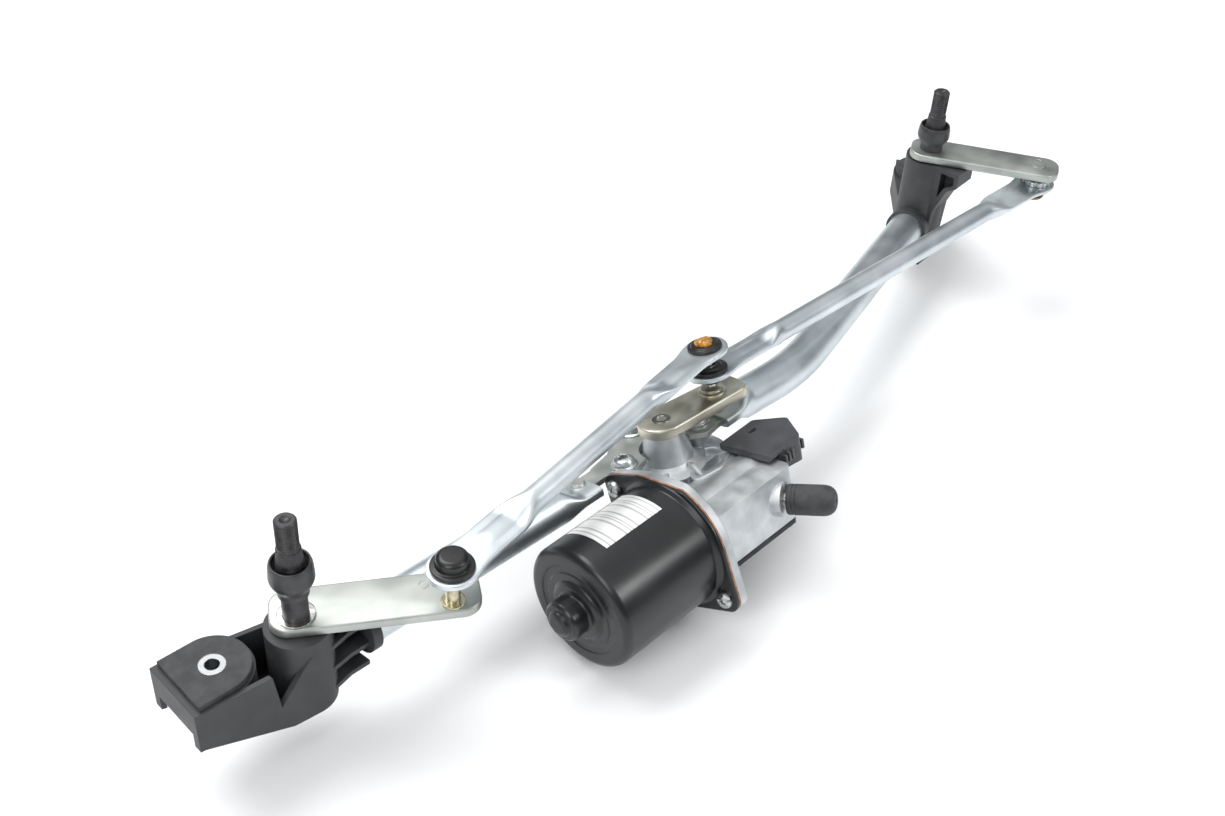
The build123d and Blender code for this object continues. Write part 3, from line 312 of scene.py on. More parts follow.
# Each finish: dark and light sRGB tones, metallic, roughness range, size of the tone's patches and of
# the surface's grain in millimetres, and how deep the grain is in millimetres.
FINISHES = {
    # cold-drawn tube, bright zinc plated: pale blue-grey, faint cloudy passivation
    "Bright_Zinc_Plate": ("C6CED2", "E0E6E9", 1.0, (0.36, 0.47), 28.0, 0.7, 0.01),
    # pressed plate, zinc plated over a rolled surface
    "Zinc_Plated_Pressing": ("A7ABA7", "C3C6C2", 1.0, (0.42, 0.54), 22.0, 0.8, 0.015),
    # nickel plated forging: warmer and a little duller than zinc
    "Nickel_Plated_Crank": ("B7B2A1", "D6D2C3", 1.0, (0.32, 0.44), 14.0, 0.9, 0.015),
    # yellow passivated zinc on the ball studs: pale brass
    "Yellow_Passivated_Stud": ("A8A084", "CDC7B0", 1.0, (0.2, 0.32), 3.0, 0.5, 0.01),
    # ground and polished ball and shaft steel
    "Polished_Steel": ("9A9A98", "C9C9C6", 1.0, (0.12, 0.2), 6.0, 0.6, 0.004),
    # hex bolts and cross-head screws, zinc plated
    "Zinc_Bolt": ("ABAFB0", "D3D6D6", 1.0, (0.28, 0.42), 4.0, 0.6, 0.015),
    # plain steel sleeve, turned and unplated: mid grey with dull patches
    "Turned_Steel_Sleeve": ("8B8D8F", "A6A8AA", 1.0, (0.36, 0.5), 4.0, 0.5, 0.015),
    # black oxide on steel with a trace of oil: deep, slightly brown, satin
    "Black_Oxide_Steel": ("232124", "3E3B3D", 0.4, (0.34, 0.5), 4.0, 0.5, 0.03),
    # the same oxide on the spindle shaft, which the bearing wipes bright further down
    "Black_Oxide_Shaft": ("232124", "3E3B3D", 0.4, (0.34, 0.5), 4.0, 0.5, 0.03),
    # glass-filled nylon moulding: charcoal with a fine spark-eroded grain
    "Glass_Filled_Nylon": ("2C2D2F", "3D3E40", 0.0, (0.46, 0.62), 14.0, 0.8, 0.05),
    # moulded acetal: denser black with a soft sheen
    "Black_Acetal": ("111112", "222223", 0.0, (0.3, 0.42), 9.0, 0.6, 0.012),
    # collar cups in soft-touch black plastic
    "Dark_Polypropylene": ("2B2B2D", "3D3D3F", 0.0, (0.34, 0.48), 8.0, 0.7, 0.03),
    # connector body, dark grey polyamide
    "Grey_Polyamide": ("3A3B3E", "4C4D50", 0.0, (0.36, 0.5), 12.0, 0.7, 0.03),
    # moulded natural rubber, matt with a bloom
    "Moulded_Rubber": ("2F3031", "474849", 0.0, (0.62, 0.8), 6.0, 0.9, 0.05),
    # deep-drawn steel can in gloss black enamel
    "Gloss_Black_Enamel": ("141516", "1F2022", 0.0, (0.26, 0.34), 30.0, 1.2, 0.008),
    # printed polyester film: smooth near-white with a faint sheen
    "Printed_Film_Label": ("E6E6E4", "F1F1EF", 0.0, (0.3, 0.4), 20.0, 1.0, 0.004),
    # pressure die-cast aluminium, as cast: mottled grey with flow marks
    "Die_Cast_Aluminium": ("B6BABD", "D6D9DB", 1.0, (0.44, 0.58), 12.0, 0.9, 0.07),
    # sheet steel cover in dark passivation
    "Dark_Passivated_Sheet": ("232426", "3A3B3D", 0.7, (0.34, 0.48), 9.0, 0.8, 0.02),
    # brown fibre gasket with a copper-coloured cut edge
    "Fibre_Gasket": ("8A5B3E", "B98563", 0.0, (0.6, 0.78), 3.0, 0.6, 0.05),
    # sintered bronze bearing, oil filled
    "Sintered_Bronze": ("8A6A3C", "B08C55", 1.0, (0.36, 0.5), 2.0, 0.4, 0.03),
    # natural acetal wheel, waxy white
    "Natural_Acetal": ("D8D3C2", "E8E4D6", 0.0, (0.36, 0.48), 10.0, 0.8, 0.01),
    # ground ferrite magnet, dull and dark
    "Ground_Ferrite": ("2A2A2C", "3B3B3D", 0.0, (0.5, 0.66), 4.0, 0.5, 0.03),
    # stacked steel laminations, blued edges
    "Steel_Laminations": ("4D4E52", "77787B", 1.0, (0.36, 0.52), 3.0, 0.5, 0.03),
    # enamelled copper winding
    "Enamelled_Copper": ("8A4522", "B96A3A", 1.0, (0.2, 0.32), 3.0, 0.5, 0.02),
    # carbon brush
    "Pressed_Carbon": ("1C1C1D", "2B2B2C", 0.0, (0.6, 0.75), 2.0, 0.4, 0.02),
    # tinned contacts
    "Tinned_Brass": ("B4B3AE", "D8D7D2", 1.0, (0.2, 0.3), 2.0, 0.4, 0.01),
    # lithium grease pressed out round a ball: amber and wet
    "Amber_Grease": ("8A5A1E", "C08A3A", 0.0, (0.12, 0.22), 3.0, 1.2, 0.12),
    # studio floor card
    "Pale_Floor_Card": ("F4F5F6", "F8F8F9", 0.0, (0.75, 0.85), 400.0, 3.0, 0.01),
}


def base_finish(name):
    """Two tones mixed by broad noise, roughness by the same noise, and fine noise as height."""
    dark, light, metallic, rough, patch_mm, grain_mm, depth_mm = FINISHES[name]
    material = bpy.data.materials.new(name)
    material.use_nodes = True
    tree = material.node_tree
    shader = tree.nodes["Principled BSDF"]
    place = add(tree, "ShaderNodeTexCoord").outputs["Object"]
    patches = add(tree, "ShaderNodeTexNoise", [("Vector", place)], in_Scale=MILLIMETRE / patch_mm,
                  in_Detail=2.5, in_Roughness=0.5)
    grain = add(tree, "ShaderNodeTexNoise", [("Vector", place)], in_Scale=MILLIMETRE / grain_mm,
                in_Detail=3.0, in_Roughness=0.55)
    tone = add(tree, "ShaderNodeValToRGB", [("Fac", patches.outputs["Fac"])])
    tone.color_ramp.elements[0].position = 0.34
    tone.color_ramp.elements[0].color = linear(dark)
    tone.color_ramp.elements[1].position = 0.68
    chosen = COLOUR_SETTINGS.get(name)
    light = (*getattr(bpy.context.scene.wiper_finishes, chosen), 1.0) if chosen else linear(light)
    tone.color_ramp.elements[1].color = light
    gloss = add(tree, "ShaderNodeMapRange", [("Value", patches.outputs["Fac"])], in_From_Min=0.3,
                in_From_Max=0.7, in_To_Min=rough[0], in_To_Max=rough[1])
    edge = add(tree, "ShaderNodeBevel", samples=6, in_Radius=EDGE_RADIUS)
    heights = [("Height", grain.outputs["Fac"]), ("Normal", edge.outputs["Normal"])]
    relief = add(tree, "ShaderNodeBump", heights, in_Strength=0.6, in_Distance=depth_mm * 0.001)
    tree.links.new(tone.outputs["Color"], shader.inputs["Base Color"])
    tree.links.new(gloss.outputs["Result"], shader.inputs["Roughness"])
    tree.links.new(relief.outputs["Normal"], shader.inputs["Normal"])
    shader.inputs["Metallic"].default_value = metallic
    if metallic < 0.5:
        shader.inputs["IOR"].default_value = 1.5
    return material, tree, shader, place, tone


SLOT_FINISHES = {
    "zinc_steel": "Zinc_Plated_Pressing",
    "bright_steel": "Polished_Steel",
    "nickel_steel": "Nickel_Plated_Crank",
    "black_oxide_steel": "Black_Oxide_Steel",
    "bracket_plastic": "Glass_Filled_Nylon",
    "black_plastic": "Black_Acetal",
    "grey_plastic": "Grey_Polyamide",
    "rubber": "Moulded_Rubber",
    "black_paint": "Gloss_Black_Enamel",
    "cast_aluminium": "Die_Cast_Aluminium",
    "black_cover": "Dark_Passivated_Sheet",
    "gasket_paper": "Fibre_Gasket",
    "bronze": "Sintered_Bronze",
    "wheel_plastic": "Natural_Acetal",
    "ferrite": "Ground_Ferrite",
    "laminations": "Steel_Laminations",
    "copper": "Enamelled_Copper",
    "carbon": "Pressed_Carbon",
    "tin": "Tinned_Brass",
}
# Finishes whose lighter tone a user may change, and the setting that holds it.
COLOUR_SETTINGS = {
    "Bright_Zinc_Plate": "zinc_colour",
    "Gloss_Black_Enamel": "can_colour",
    "Glass_Filled_Nylon": "bracket_colour",
    "Pale_Floor_Card": "floor_colour",
}
# Parts whose plating or steel differs from the rest of their slot.
NODE_FINISHES = {
    "near_ball_stud": "Yellow_Passivated_Stud",
    "far_ball_stud": "Zinc_Plated_Pressing",
    "near_grommet_sleeve": "Turned_Steel_Sleeve",
    "far_grommet_sleeve": "Turned_Steel_Sleeve",
}


def finish(name):
    """The named finish, made once."""
    return bpy.data.materials.get(name) or base_finish(name)[0]


def oxide_shaft():
    """Black oxide above, wiped bright on the bearing part of the shaft below the collar."""
    name = "Black_Oxide_Shaft"
    if name in bpy.data.materials:
        return bpy.data.materials[name]
    material, tree, shader, place, tone = base_finish(name)
    height = add(tree, "ShaderNodeSeparateXYZ", [("Vector", place)])
    bright = add(tree, "ShaderNodeMapRange", [("Value", height.outputs["Z"])], in_From_Min=-0.048,
                 in_From_Max=-0.052, in_To_Min=0.0, in_To_Max=1.0)
    mixed = add(tree, "ShaderNodeMix", [(0, bright.outputs["Result"]), (6, tone.outputs["Color"])],
                data_type="RGBA")
    mixed.inputs[7].default_value = linear("B4B4B2")
    tree.links.new(mixed.outputs[2], shader.inputs["Base Color"])
    tree.links.new(bright.outputs["Result"], shader.inputs["Metallic"])
    return material


def paper_label():
    """White film with plain grey bars printed across it."""
    name = "Printed_Film_Label"
    if name in bpy.data.materials:
        return bpy.data.materials[name]
    material, tree, shader, place, tone = base_finish(name)
    along = add(tree, "ShaderNodeVectorMath", [(0, place)], operation="DOT_PRODUCT")
    along.inputs[1].default_value = tuple(ARMATURE_AXIS)
    bars = add(tree, "ShaderNodeTexNoise", [("W", along.outputs["Value"])], noise_dimensions="1D",
               in_Scale=MILLIMETRE / 1.6, in_Detail=0.0)
    ink = add(tree, "ShaderNodeMapRange", [("Value", bars.outputs["Fac"])], in_From_Min=0.56,
              in_From_Max=0.6, in_To_Min=0.0, in_To_Max=0.55)
    mixed = add(tree, "ShaderNodeMix", [(0, ink.outputs["Result"]), (6, tone.outputs["Color"])],
                data_type="RGBA")
    mixed.inputs[7].default_value = linear("6E7072")
    tree.links.new(mixed.outputs[2], shader.inputs["Base Color"])
    return material


def wear(piece, material):
    """The material alone on a piece or a part of the frame."""
    piece.data.materials.clear()
    piece.data.materials.append(material)


def settle(piece, body, slot_name, coat, *nodes):
    """Finish (by name or ready made), body, slot (not used) and the CAD nodes a new piece stands for."""
    wear(piece, finish(coat) if isinstance(coat, str) else coat)
    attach(piece, body)
    if nodes:
        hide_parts(*nodes)
    return piece


# ---- sizes a user may change --------------------------------------------------------------------


class SpindleSettings(bpy.types.PropertyGroup):
    """Thread and knurl of both spindles"""

    thread_pitch: bpy.props.FloatProperty(name="Thread pitch", description="Pitch of the spindle's thread",
                                          default=0.00125, unit="LENGTH", subtype="DISTANCE")
    thread_depth: bpy.props.FloatProperty(name="Thread depth", description="Depth of the thread's groove",
                                          default=0.0007, unit="LENGTH", subtype="DISTANCE")
    knurl_teeth: bpy.props.IntProperty(name="Knurl teeth", description="Ridges round the cone", default=36)


class LinkSettings(bpy.types.PropertyGroup):
    """Tubes of the links and the frame"""

    rod_radius: bpy.props.FloatProperty(name="Rod radius", description="Outside radius of the link tubes",
                                        default=0.006, unit="LENGTH", subtype="DISTANCE")
    tube_radius: bpy.props.FloatProperty(name="Frame tube radius", description="Outside radius of the frame",
                                         default=0.011, unit="LENGTH", subtype="DISTANCE")


class MotorSettings(bpy.types.PropertyGroup):
    """Drawn can of the motor"""

    can_radius: bpy.props.FloatProperty(name="Can radius", description="Outside radius of the motor's can",
                                        default=0.033, unit="LENGTH", subtype="DISTANCE")
    shoulder: bpy.props.FloatProperty(name="Can shoulder", description="Radius of the can's drawn shoulder",
                                      default=0.004, unit="LENGTH", subtype="DISTANCE")


def tone_property(name, finish_name):
    """Colour setting that starts as the lighter tone of a finish."""
    return bpy.props.FloatVectorProperty(name=name, description=f"Lighter tone of {finish_name}", size=3,
                                         default=linear(FINISHES[finish_name][1])[:3], subtype="COLOR",
                                         min=0, max=1)


class FinishSettings(bpy.types.PropertyGroup):
    """Colours of the largest surfaces"""

    zinc_colour: tone_property("Zinc plated tubes", "Bright_Zinc_Plate")
    can_colour: tone_property("Motor can", "Gloss_Black_Enamel")
    bracket_colour: tone_property("Brackets", "Glass_Filled_Nylon")
    floor_colour: tone_property("Floor", "Pale_Floor_Card")


class StageSettings(bpy.types.PropertyGroup):
    """Studio lights"""

    key_power: bpy.props.FloatProperty(name="Key light", description="Power of the large soft light",
                                       default=26.0, unit="POWER")


# ---- operators ----------------------------------------------------------------------------------


class WIPER_OT_stage(bpy.types.Operator):
    """Camera, soft lights and the pale floor"""

    bl_idname = "wiper.stage"
    bl_label = "Stage"

    def execute(self, context):
        settings = context.scene.wiper_stage
        ahead = np.array([sin(CAMERA_YAW) * cos(CAMERA_PITCH), cos(CAMERA_YAW) * cos(CAMERA_PITCH),
                          -sin(CAMERA_PITCH)])
        right = unit(np.cross(ahead, UP))
        down = np.cross(ahead, right)
        lens = bpy.data.cameras.new("Camera")
        lens.lens = LENS_MM
        lens.sensor_width = SENSOR_MM
        lens.clip_end = 50.0
        camera = bpy.data.objects.new("Camera", lens)
        pose = np.eye(4)
        pose[:3, 0] = cos(CAMERA_ROLL) * right + sin(CAMERA_ROLL) * down
        pose[:3, 1] = sin(CAMERA_ROLL) * right - cos(CAMERA_ROLL) * down
        pose[:3, 2] = -ahead
        pose[:3, 3] = CAMERA_AT
        camera.matrix_world = Matrix(pose.tolist())
        context.scene.collection.objects.link(camera)
        context.scene.camera = camera

        low, high = np.array(CAD_BOX[0]), np.array(CAD_BOX[1])
        middle = (low + high) / 2
        x, y = np.meshgrid(middle[0] + [-FLOOR_HALF, FLOOR_HALF], middle[1] + [-FLOOR_HALF, FLOOR_HALF],
                           indexing="ij")
        corners = np.stack([x.ravel(), y.ravel(), np.full(x.size, low[2] - FLOOR_GAP)], 1) * 1000
        floor = finish_mesh("Floor", corners, [[0, 2, 3, 1]], outward=False)
        wear(floor, finish("Pale_Floor_Card"))

        world = bpy.data.worlds.new("Studio")
        context.scene.world = world
        world.use_nodes = True
        tree = world.node_tree
        sky = tree.nodes["Background"]
        place = add(tree, "ShaderNodeTexCoord").outputs["Generated"]
        height = add(tree, "ShaderNodeSeparateXYZ", [("Vector", place)])
        ramp = add(tree, "ShaderNodeValToRGB", [("Fac", height.outputs["Z"])])
        ramp.color_ramp.elements[0].position = 0.52
        ramp.color_ramp.elements[0].color = linear("7C8184")
        ramp.color_ramp.elements[1].position = 0.74
        ramp.color_ramp.elements[1].color = linear("FFFFFF")
        tree.links.new(ramp.outputs["Color"], sky.inputs["Color"])
        sky.inputs["Strength"].default_value = 0.86

        for name, at, size, share in LIGHTS:
            light = bpy.data.lights.new(name, "AREA")
            light.shape = "RECTANGLE"
            light.size = size
            light.size_y = size * 0.7
            light.energy = settings.key_power * share
            lamp = bpy.data.objects.new(name, light)
            back = unit(np.array(at) - np.array(LIGHT_AIM))
            side, other = axes_for(back)
            grip = np.eye(4)
            grip[:3, 0], grip[:3, 1], grip[:3, 2], grip[:3, 3] = side, other, back, at
            lamp.matrix_world = Matrix(grip.tolist())
            context.scene.collection.objects.link(lamp)
        context.scene.view_settings.view_transform = "Standard"
        return {"FINISHED"}


def spindle_shape(settings, tip):
    """Radius less a V groove, a triangle wave of height over pitch less the angle, above the seat, and less
    straight knurls, a triangle wave of the angle, on the cone below it."""
    pitch = settings.thread_pitch * 1000
    depth = settings.thread_depth * 1000
    teeth = settings.knurl_teeth

    def shape(angle, height, radius):
        phase = (height / pitch - angle / (2 * pi)) % 1.0
        groove = depth * (1 - np.abs(2 * phase - 1)) * smooth_step(height, 1.0, 2.4)
        groove *= 1 - smooth_step(height, tip - 1.4, tip - 0.6)
        ridge = 0.45 * np.abs(((angle * teeth / (2 * pi)) % 1.0) * 2 - 1)
        ridge = ridge * smooth_step(height, -8.6, -8.0) * (1 - smooth_step(height, -0.9, -0.5))
        lift = np.where(radius > 0.5, groove + ridge, 0)
        return radius - lift

    return shape


class WIPER_OT_spindles(bpy.types.Operator):
    """Threaded and knurled spindles with their collar cups"""

    bl_idname = "wiper.spindles"
    bl_label = "Spindles and collars"

    def execute(self, context):
        settings = context.scene.wiper_spindles
        for side, at, neck, base in (("near", NEAR_AT, -27.0, -26.0), ("far", FAR_AT, -23.6, -21.5)):
            low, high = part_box(f"{side}_spindle")
            tail, tip = low.z * 1000, high.z * 1000
            thread = np.linspace(0.2, tip - 0.8, 110)
            cone = np.linspace(-9.0, -0.4, 24)
            profile = (
                [(0.01, tail), (5.2, tail), (5.8, tail + 0.6), (5.8, tail + 1.55), (5.05, tail + 1.6),
                 (5.05, tail + 2.6), (5.8, tail + 2.65)]
                + [(5.8, h) for h in np.linspace(tail + 6, -10.6, 12)]
                + [(6.5 - 1.0 * (h + 9.0) / 8.6, h) for h in cone]
                + [(4.7, 0.0), (4.6, 0.1)]
                + [(5.0, h) for h in thread]
                + [(4.2, tip), (2.4, tip), (1.9, tip - 0.5), (0.01, tip - 0.9)]
            )
            shaft = turned(f"{side}_spindle_turned", at, UP, profile, 108, spindle_shape(settings, tip))
            settle(shaft, f"{side}_rocker", "black_oxide_steel", oxide_shaft(), f"{side}_spindle")
            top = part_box(f"{side}_collar_cap")[1].z * 1000
            depth = top - base
            cup = rounded(
                [(5.85, neck), (6.9, neck), (7.0, base + 0.14 * depth), (9.5, base + 0.38 * depth),
                 (10.1, base + 0.5 * depth), (9.7, top - 2.2), (9.0, top), (8.1, top - 0.1), (7.9, top - 2.4),
                 (7.3, top - 2.8), (7.2, top - 4.6), (5.85, top - 5.2)],
                1.1,
            )
            collar = turned(f"{side}_collar_cup", at, UP, np.vstack([cup, cup[:1]]), 72)
            settle(collar, f"{side}_rocker", "black_plastic", "Dark_Polypropylene", f"{side}_collar_cap")
        return {"FINISHED"}


def link_tube(name, start, end, start_up, end_up, radius, flat_half=1.5, width_half=9.5, eye=12.0):
    """Link along a straight line: a round tube in the middle, pinched to a flat near both balls by a smooth
    step of the distance s, and its eye end half a circle wide: sqrt(eye^2 - s^2)."""
    along = unit(end - start)
    length = np.linalg.norm(end - start)
    a = np.linspace(0, pi / 2, 14)
    nose = -eye * np.cos(a)
    body = np.concatenate([np.linspace(2, 60, 48), np.linspace(68, length - 68, 12),
                           length - np.linspace(60, 2, 48)])
    s = np.concatenate([nose, body, length - nose[::-1]])
    near = np.minimum(s, length - s)
    round_part = smooth_step(near, 38, 56)
    eye_half = np.sqrt(np.clip(eye**2 - np.minimum(near, 0) ** 2, 0.02, None))
    neck = eye + (width_half - eye) * smooth_step(near, 0, 17)
    half_width = np.where(near < 0, eye_half, neck) * (1 - round_part) + radius * round_part
    half_height = flat_half * (1 - round_part) + radius * round_part
    corner = 7.0 * (1 - round_part) + 2.0 * round_part
    up_start = unit(start_up - along * (start_up @ along))
    up_end = unit(end_up - along * (end_up @ along))
    turn = smooth_step(s, 62, length - 62)[:, None]
    bead = 1.5 * smooth_step(near, 13, 26) * (1 - round_part)
    tall = up_start * (1 - turn) + up_end * turn
    tall /= np.linalg.norm(tall, axis=1)[:, None]
    wide = np.cross(tall, along)
    centres = start + s[:, None] * along
    return run_along(name, centres, wide, tall, half_width, half_height, corner, 96, bead=bead)


class WIPER_OT_links(bpy.types.Operator):
    """Both pinched link tubes with their ball sockets, caps and grease"""

    bl_idname = "wiper.links"
    bl_label = "Links and sockets"

    def execute(self, context):
        radius = context.scene.wiper_links.rod_radius * 1000
        near = link_tube("near_link_tube", NEAR_BALL, UPPER_BALL, UP, MOTOR_W, radius)
        settle(near, "near_link", "zinc_steel", "Bright_Zinc_Plate", "near_link_rod")
        far = link_tube("far_link_tube", LOWER_BALL, FAR_BALL, MOTOR_W, UP, radius)
        settle(far, "far_link", "zinc_steel", "Bright_Zinc_Plate", "far_link_rod")

        def eye_up(ball, other, up):
            """The up direction, made square to the link."""
            heading = unit(other - ball)
            return unit(up - heading * (up @ heading))

        near_up = eye_up(NEAR_BALL, UPPER_BALL, UP)
        cap = [(0.01, 9.0), (5.6, 9.0), (7.4, 7.6), (7.4, 3.3), (10.1, 3.3), (10.1, 1.55), (7.6, 1.5)]
        cap = rounded(cap, 0.8)
        body = rounded([(7.6, 1.5), (7.4, -4.4), (6.6, -5.2), (4.7, -5.2), (4.7, -3.0), (0.01, 5.0)], 0.5)
        dome = turned("near_cap_dome", NEAR_BALL, near_up, np.vstack([cap, body]), 72)
        settle(dome, "near_link", "black_plastic", "Black_Acetal", "near_link_cap")

        far_up = eye_up(FAR_BALL, LOWER_BALL, UP)
        boot = [(0.01, -8.6), (4.6, -8.6), (6.9, -7.6), (7.4, -6.4), (6.7, -5.6), (7.4, -4.8), (6.7, -4.1),
                (7.4, -3.3), (10.1, -3.3), (10.1, -1.55), (7.6, -1.5), (7.4, 3.6), (6.4, 4.6), (4.7, 4.6),
                (4.7, 2.6), (0.01, -5.0)]
        ribbed = turned("far_boot_ribbed", FAR_BALL, far_up, rounded(boot, 0.5), 72)
        settle(ribbed, "far_link", "black_plastic", "Black_Acetal", "far_link_boot")

        def teeth(angle, height, radius):
            """Fourteen notches, 0.9 mm deep, where the cosine of 14 angles is above 0."""
            return radius - 0.9 * (radius > 8.0) * (np.cos(14 * angle) > 0)

        crown = [(7.5, 1.55), (9.4, 1.55), (9.4, 4.4), (8.7, 5.0), (6.4, 5.0), (6.2, 3.7), (7.5, 3.7),
                 (7.5, 1.55)]
        crown = turned("far_socket_crown", FAR_BALL, far_up, rounded(crown, 0.3), 112, teeth)
        settle(crown, "far_link", "zinc_steel", "Zinc_Bolt")
        drip = rounded([(4.2, -9.3), (6.6, -8.8), (7.3, -7.7), (7.3, -7.0), (4.2, -7.4), (4.2, -9.3)], 0.4)
        drip = turned("far_boot_grease", FAR_BALL, far_up, drip, 64)
        settle(drip, "far_link", "black_plastic", "Amber_Grease")

        up = eye_up(UPPER_BALL, NEAR_BALL, MOTOR_W)
        ring = [(4.4, -4.8), (6.4, -4.8), (7.4, -3.8), (7.4, 1.5), (9.1, 1.5), (9.1, 3.1), (7.4, 3.2),
                (6.9, 4.0), (5.2, 4.0), (4.0, 3.3), (4.0, 0.0), (4.4, -4.8)]
        socket = turned("crank_upper_socket", UPPER_BALL, up, rounded(ring, 0.4), 72)
        settle(socket, "near_link", "black_plastic", "Black_Acetal", "near_link_socket")
        up = eye_up(LOWER_BALL, FAR_BALL, MOTOR_W)
        ring = [(4.6, -4.6), (6.4, -4.6), (7.4, -3.8), (7.4, 1.5), (10.1, 1.5), (10.1, 3.1), (7.4, 3.2),
                (6.6, 4.4), (4.0, 4.4), (4.0, 0.0), (4.6, -4.6)]
        socket = turned("crank_lower_socket", LOWER_BALL, up, rounded(ring, 0.4), 72)
        settle(socket, "far_link", "black_plastic", "Black_Acetal", "far_link_socket")

        def blob(angle, height, radius):
            """Uneven rim: three broad and seven narrow waves round the axis."""
            return radius + np.where(radius > 1.0, 0.35 * np.sin(3 * angle + 1) + 0.2 * np.sin(7 * angle), 0)

        bead = rounded([(0.01, 3.0), (4.6, 3.2), (5.0, 4.4), (4.1, 5.9), (2.3, 6.7), (0.01, 6.9)], 0.9)
        grease = turned("socket_grease", UPPER_BALL, MOTOR_W, bead, 64, blob)
        settle(grease, "near_link", "black_plastic", "Amber_Grease")
        return {"FINISHED"}


def frame_run(name, route, radius):
    """Frame tube along a route, round at the bracket and pressed flat over the motor plate's tongue. The last
    10.5 mm are fully flat, and a smooth step of the length makes the pinch in the 15.5 mm before them."""
    steps = np.concatenate([[0], np.cumsum(np.linalg.norm(np.diff(route, axis=0), axis=1))])
    length = steps[-1]
    s = np.unique(np.concatenate([np.linspace(0, length - 30, 60), np.linspace(length - 30, length, 40)]))
    centres = np.stack([np.interp(s, steps, route[:, i]) for i in range(3)], 1)
    ahead = np.gradient(centres, axis=0)
    ahead /= np.linalg.norm(ahead, axis=1)[:, None]
    flat = smooth_step(s, length - 26, length - 10.5)
    lip = 0.5 * np.exp(-((s - 1.0) / 1.6) ** 2)
    tall = MOTOR_W - ahead * (ahead @ MOTOR_W)[:, None]
    tall /= np.linalg.norm(tall, axis=1)[:, None]
    wide = np.cross(tall, ahead)
    half_width = (radius + lip) * (1 - flat) + 13.0 * flat
    half_height = (radius + lip) * (1 - flat) + 3.1 * flat
    corner = 2.0 * (1 - flat) + 5.0 * flat
    return run_along(name, centres, wide, tall, half_width, half_height, corner, 64)


class WIPER_OT_frame_tubes(bpy.types.Operator):
    """Frame tubes with their flattened ends"""

    bl_idname = "wiper.frame_tubes"
    bl_label = "Frame tubes"

    def execute(self, context):
        radius = context.scene.wiper_links.tube_radius * 1000
        near = np.array([(33.5, -5.3, -68.0), (148.0, -16.0, -68.0), motor_point(-57.0, 16.4, TUBE_SEAT),
                         motor_point(-46.5, 15.4, TUBE_SEAT)])
        near_run = frame_run("near_frame_run", near, radius)
        settle(near_run, "frame", "zinc_steel", "Bright_Zinc_Plate", "near_frame_tube")
        far = rounded([(507.0, -3.2, -74.6), (324.0, -41.2, -65.5), (279.0, -37.3, -63.2)], 24, 14, 1.0)
        far = np.vstack([far, motor_point(46.0, -3.3, TUBE_SEAT), motor_point(34.5, -2.5, TUBE_SEAT)])
        far_run = frame_run("far_frame_run", far, radius)
        settle(far_run, "frame", "zinc_steel", "Bright_Zinc_Plate", "far_frame_tube")
        return {"FINISHED"}


class WIPER_OT_cranks(bpy.types.Operator):
    """Pressed crank plates and the motor's nickel crank with its ribbed stub"""

    bl_idname = "wiper.cranks"
    bl_label = "Cranks"

    def execute(self, context):
        for side, at, angle, front, back, start, end, top in (
            ("near", NEAR_AT, -38.0, -8.9, 16.9, -12.0, 81.0, -41.0),
            ("far", FAR_AT, -64.6, -12.0, 12.0, -12.5, 80.5, -23.6),
        ):
            direction = np.array([cos(radians(angle)), sin(radians(angle)), 0.0])
            r = 9.0
            corners = [(start + r, front + r, r), (start + r, back - r, r), (end - r, front + r, r),
                       (end - r, back - r, r)]
            plate = plate_surface(f"{side}_crank_pressing", convex_outline(corners, 200), at, direction,
                                  np.cross(UP, direction), top - 5.0, top, 0.9)
            settle(plate, f"{side}_rocker", "zinc_steel", "Zinc_Plated_Pressing", f"{side}_crank_plate")
            spot = np.array([50.0, -27.0, top]) if side == "near" else np.array([561.4, -58.1, top])
            ring = rounded([(2.6, -0.3), (2.6, 0.2), (1.9, 0.2), (1.9, -0.3), (2.6, -0.3)], 0.2)
            mark = turned(f"{side}_crank_mark", spot, UP, ring, 40)
            settle(mark, f"{side}_rocker", "zinc_steel", "Zinc_Plated_Pressing")
        pin_u, pin_v = CRANK_PIN
        tilt = radians(CRANK_ANGLE)
        corners = []
        for x, y in ((4.0, 4.0), (4.0, -4.0), (-4.0, 4.0), (-4.0, -4.0)):
            corners.append((pin_u * 1.2 + x * cos(tilt) - y * sin(tilt),
                            pin_v * 1.2 + x * sin(tilt) + y * cos(tilt), 7.0))
        outline = convex_outline([(0, 0, 13.0)] + corners, 200)
        arm = plate_surface("motor_crank_forged", outline, MOTOR_AT, MOTOR_U, MOTOR_V, -6.0, 0.0, 1.2)
        settle(arm, "crank", "nickel_steel", "Nickel_Plated_Crank", "motor_crank")
        rings = [(0.01, -6.3), (3.7, -6.3), (4.0, -6.0), (4.0, 0.0), (7.6, 0.0), (7.6, 0.9), (6.4, 1.25),
                 (5.2, 1.4), (6.2, 1.8), (6.2, 2.2), (5.3, 2.4), (6.1, 2.7), (5.8, 3.0), (0.01, 3.0)]
        stub = turned("crank_stub_ribbed", motor_point(pin_u, pin_v, 0), MOTOR_W, rounded(rings, 0.25), 64)
        settle(stub, "crank", "nickel_steel", "Nickel_Plated_Crank", "crank_stub")
        return {"FINISHED"}


def flange_outline(circle, ear):
    """Outline round the can's circle and two ears, cut flat at the top."""
    x, y = FLANGE_EAR
    outline = convex_outline([(0, 0, circle), (x, y, ear), (-x, -y, ear)], 200)
    outline[:, 1] = np.minimum(outline[:, 1], FLANGE_FLAT)
    return outline


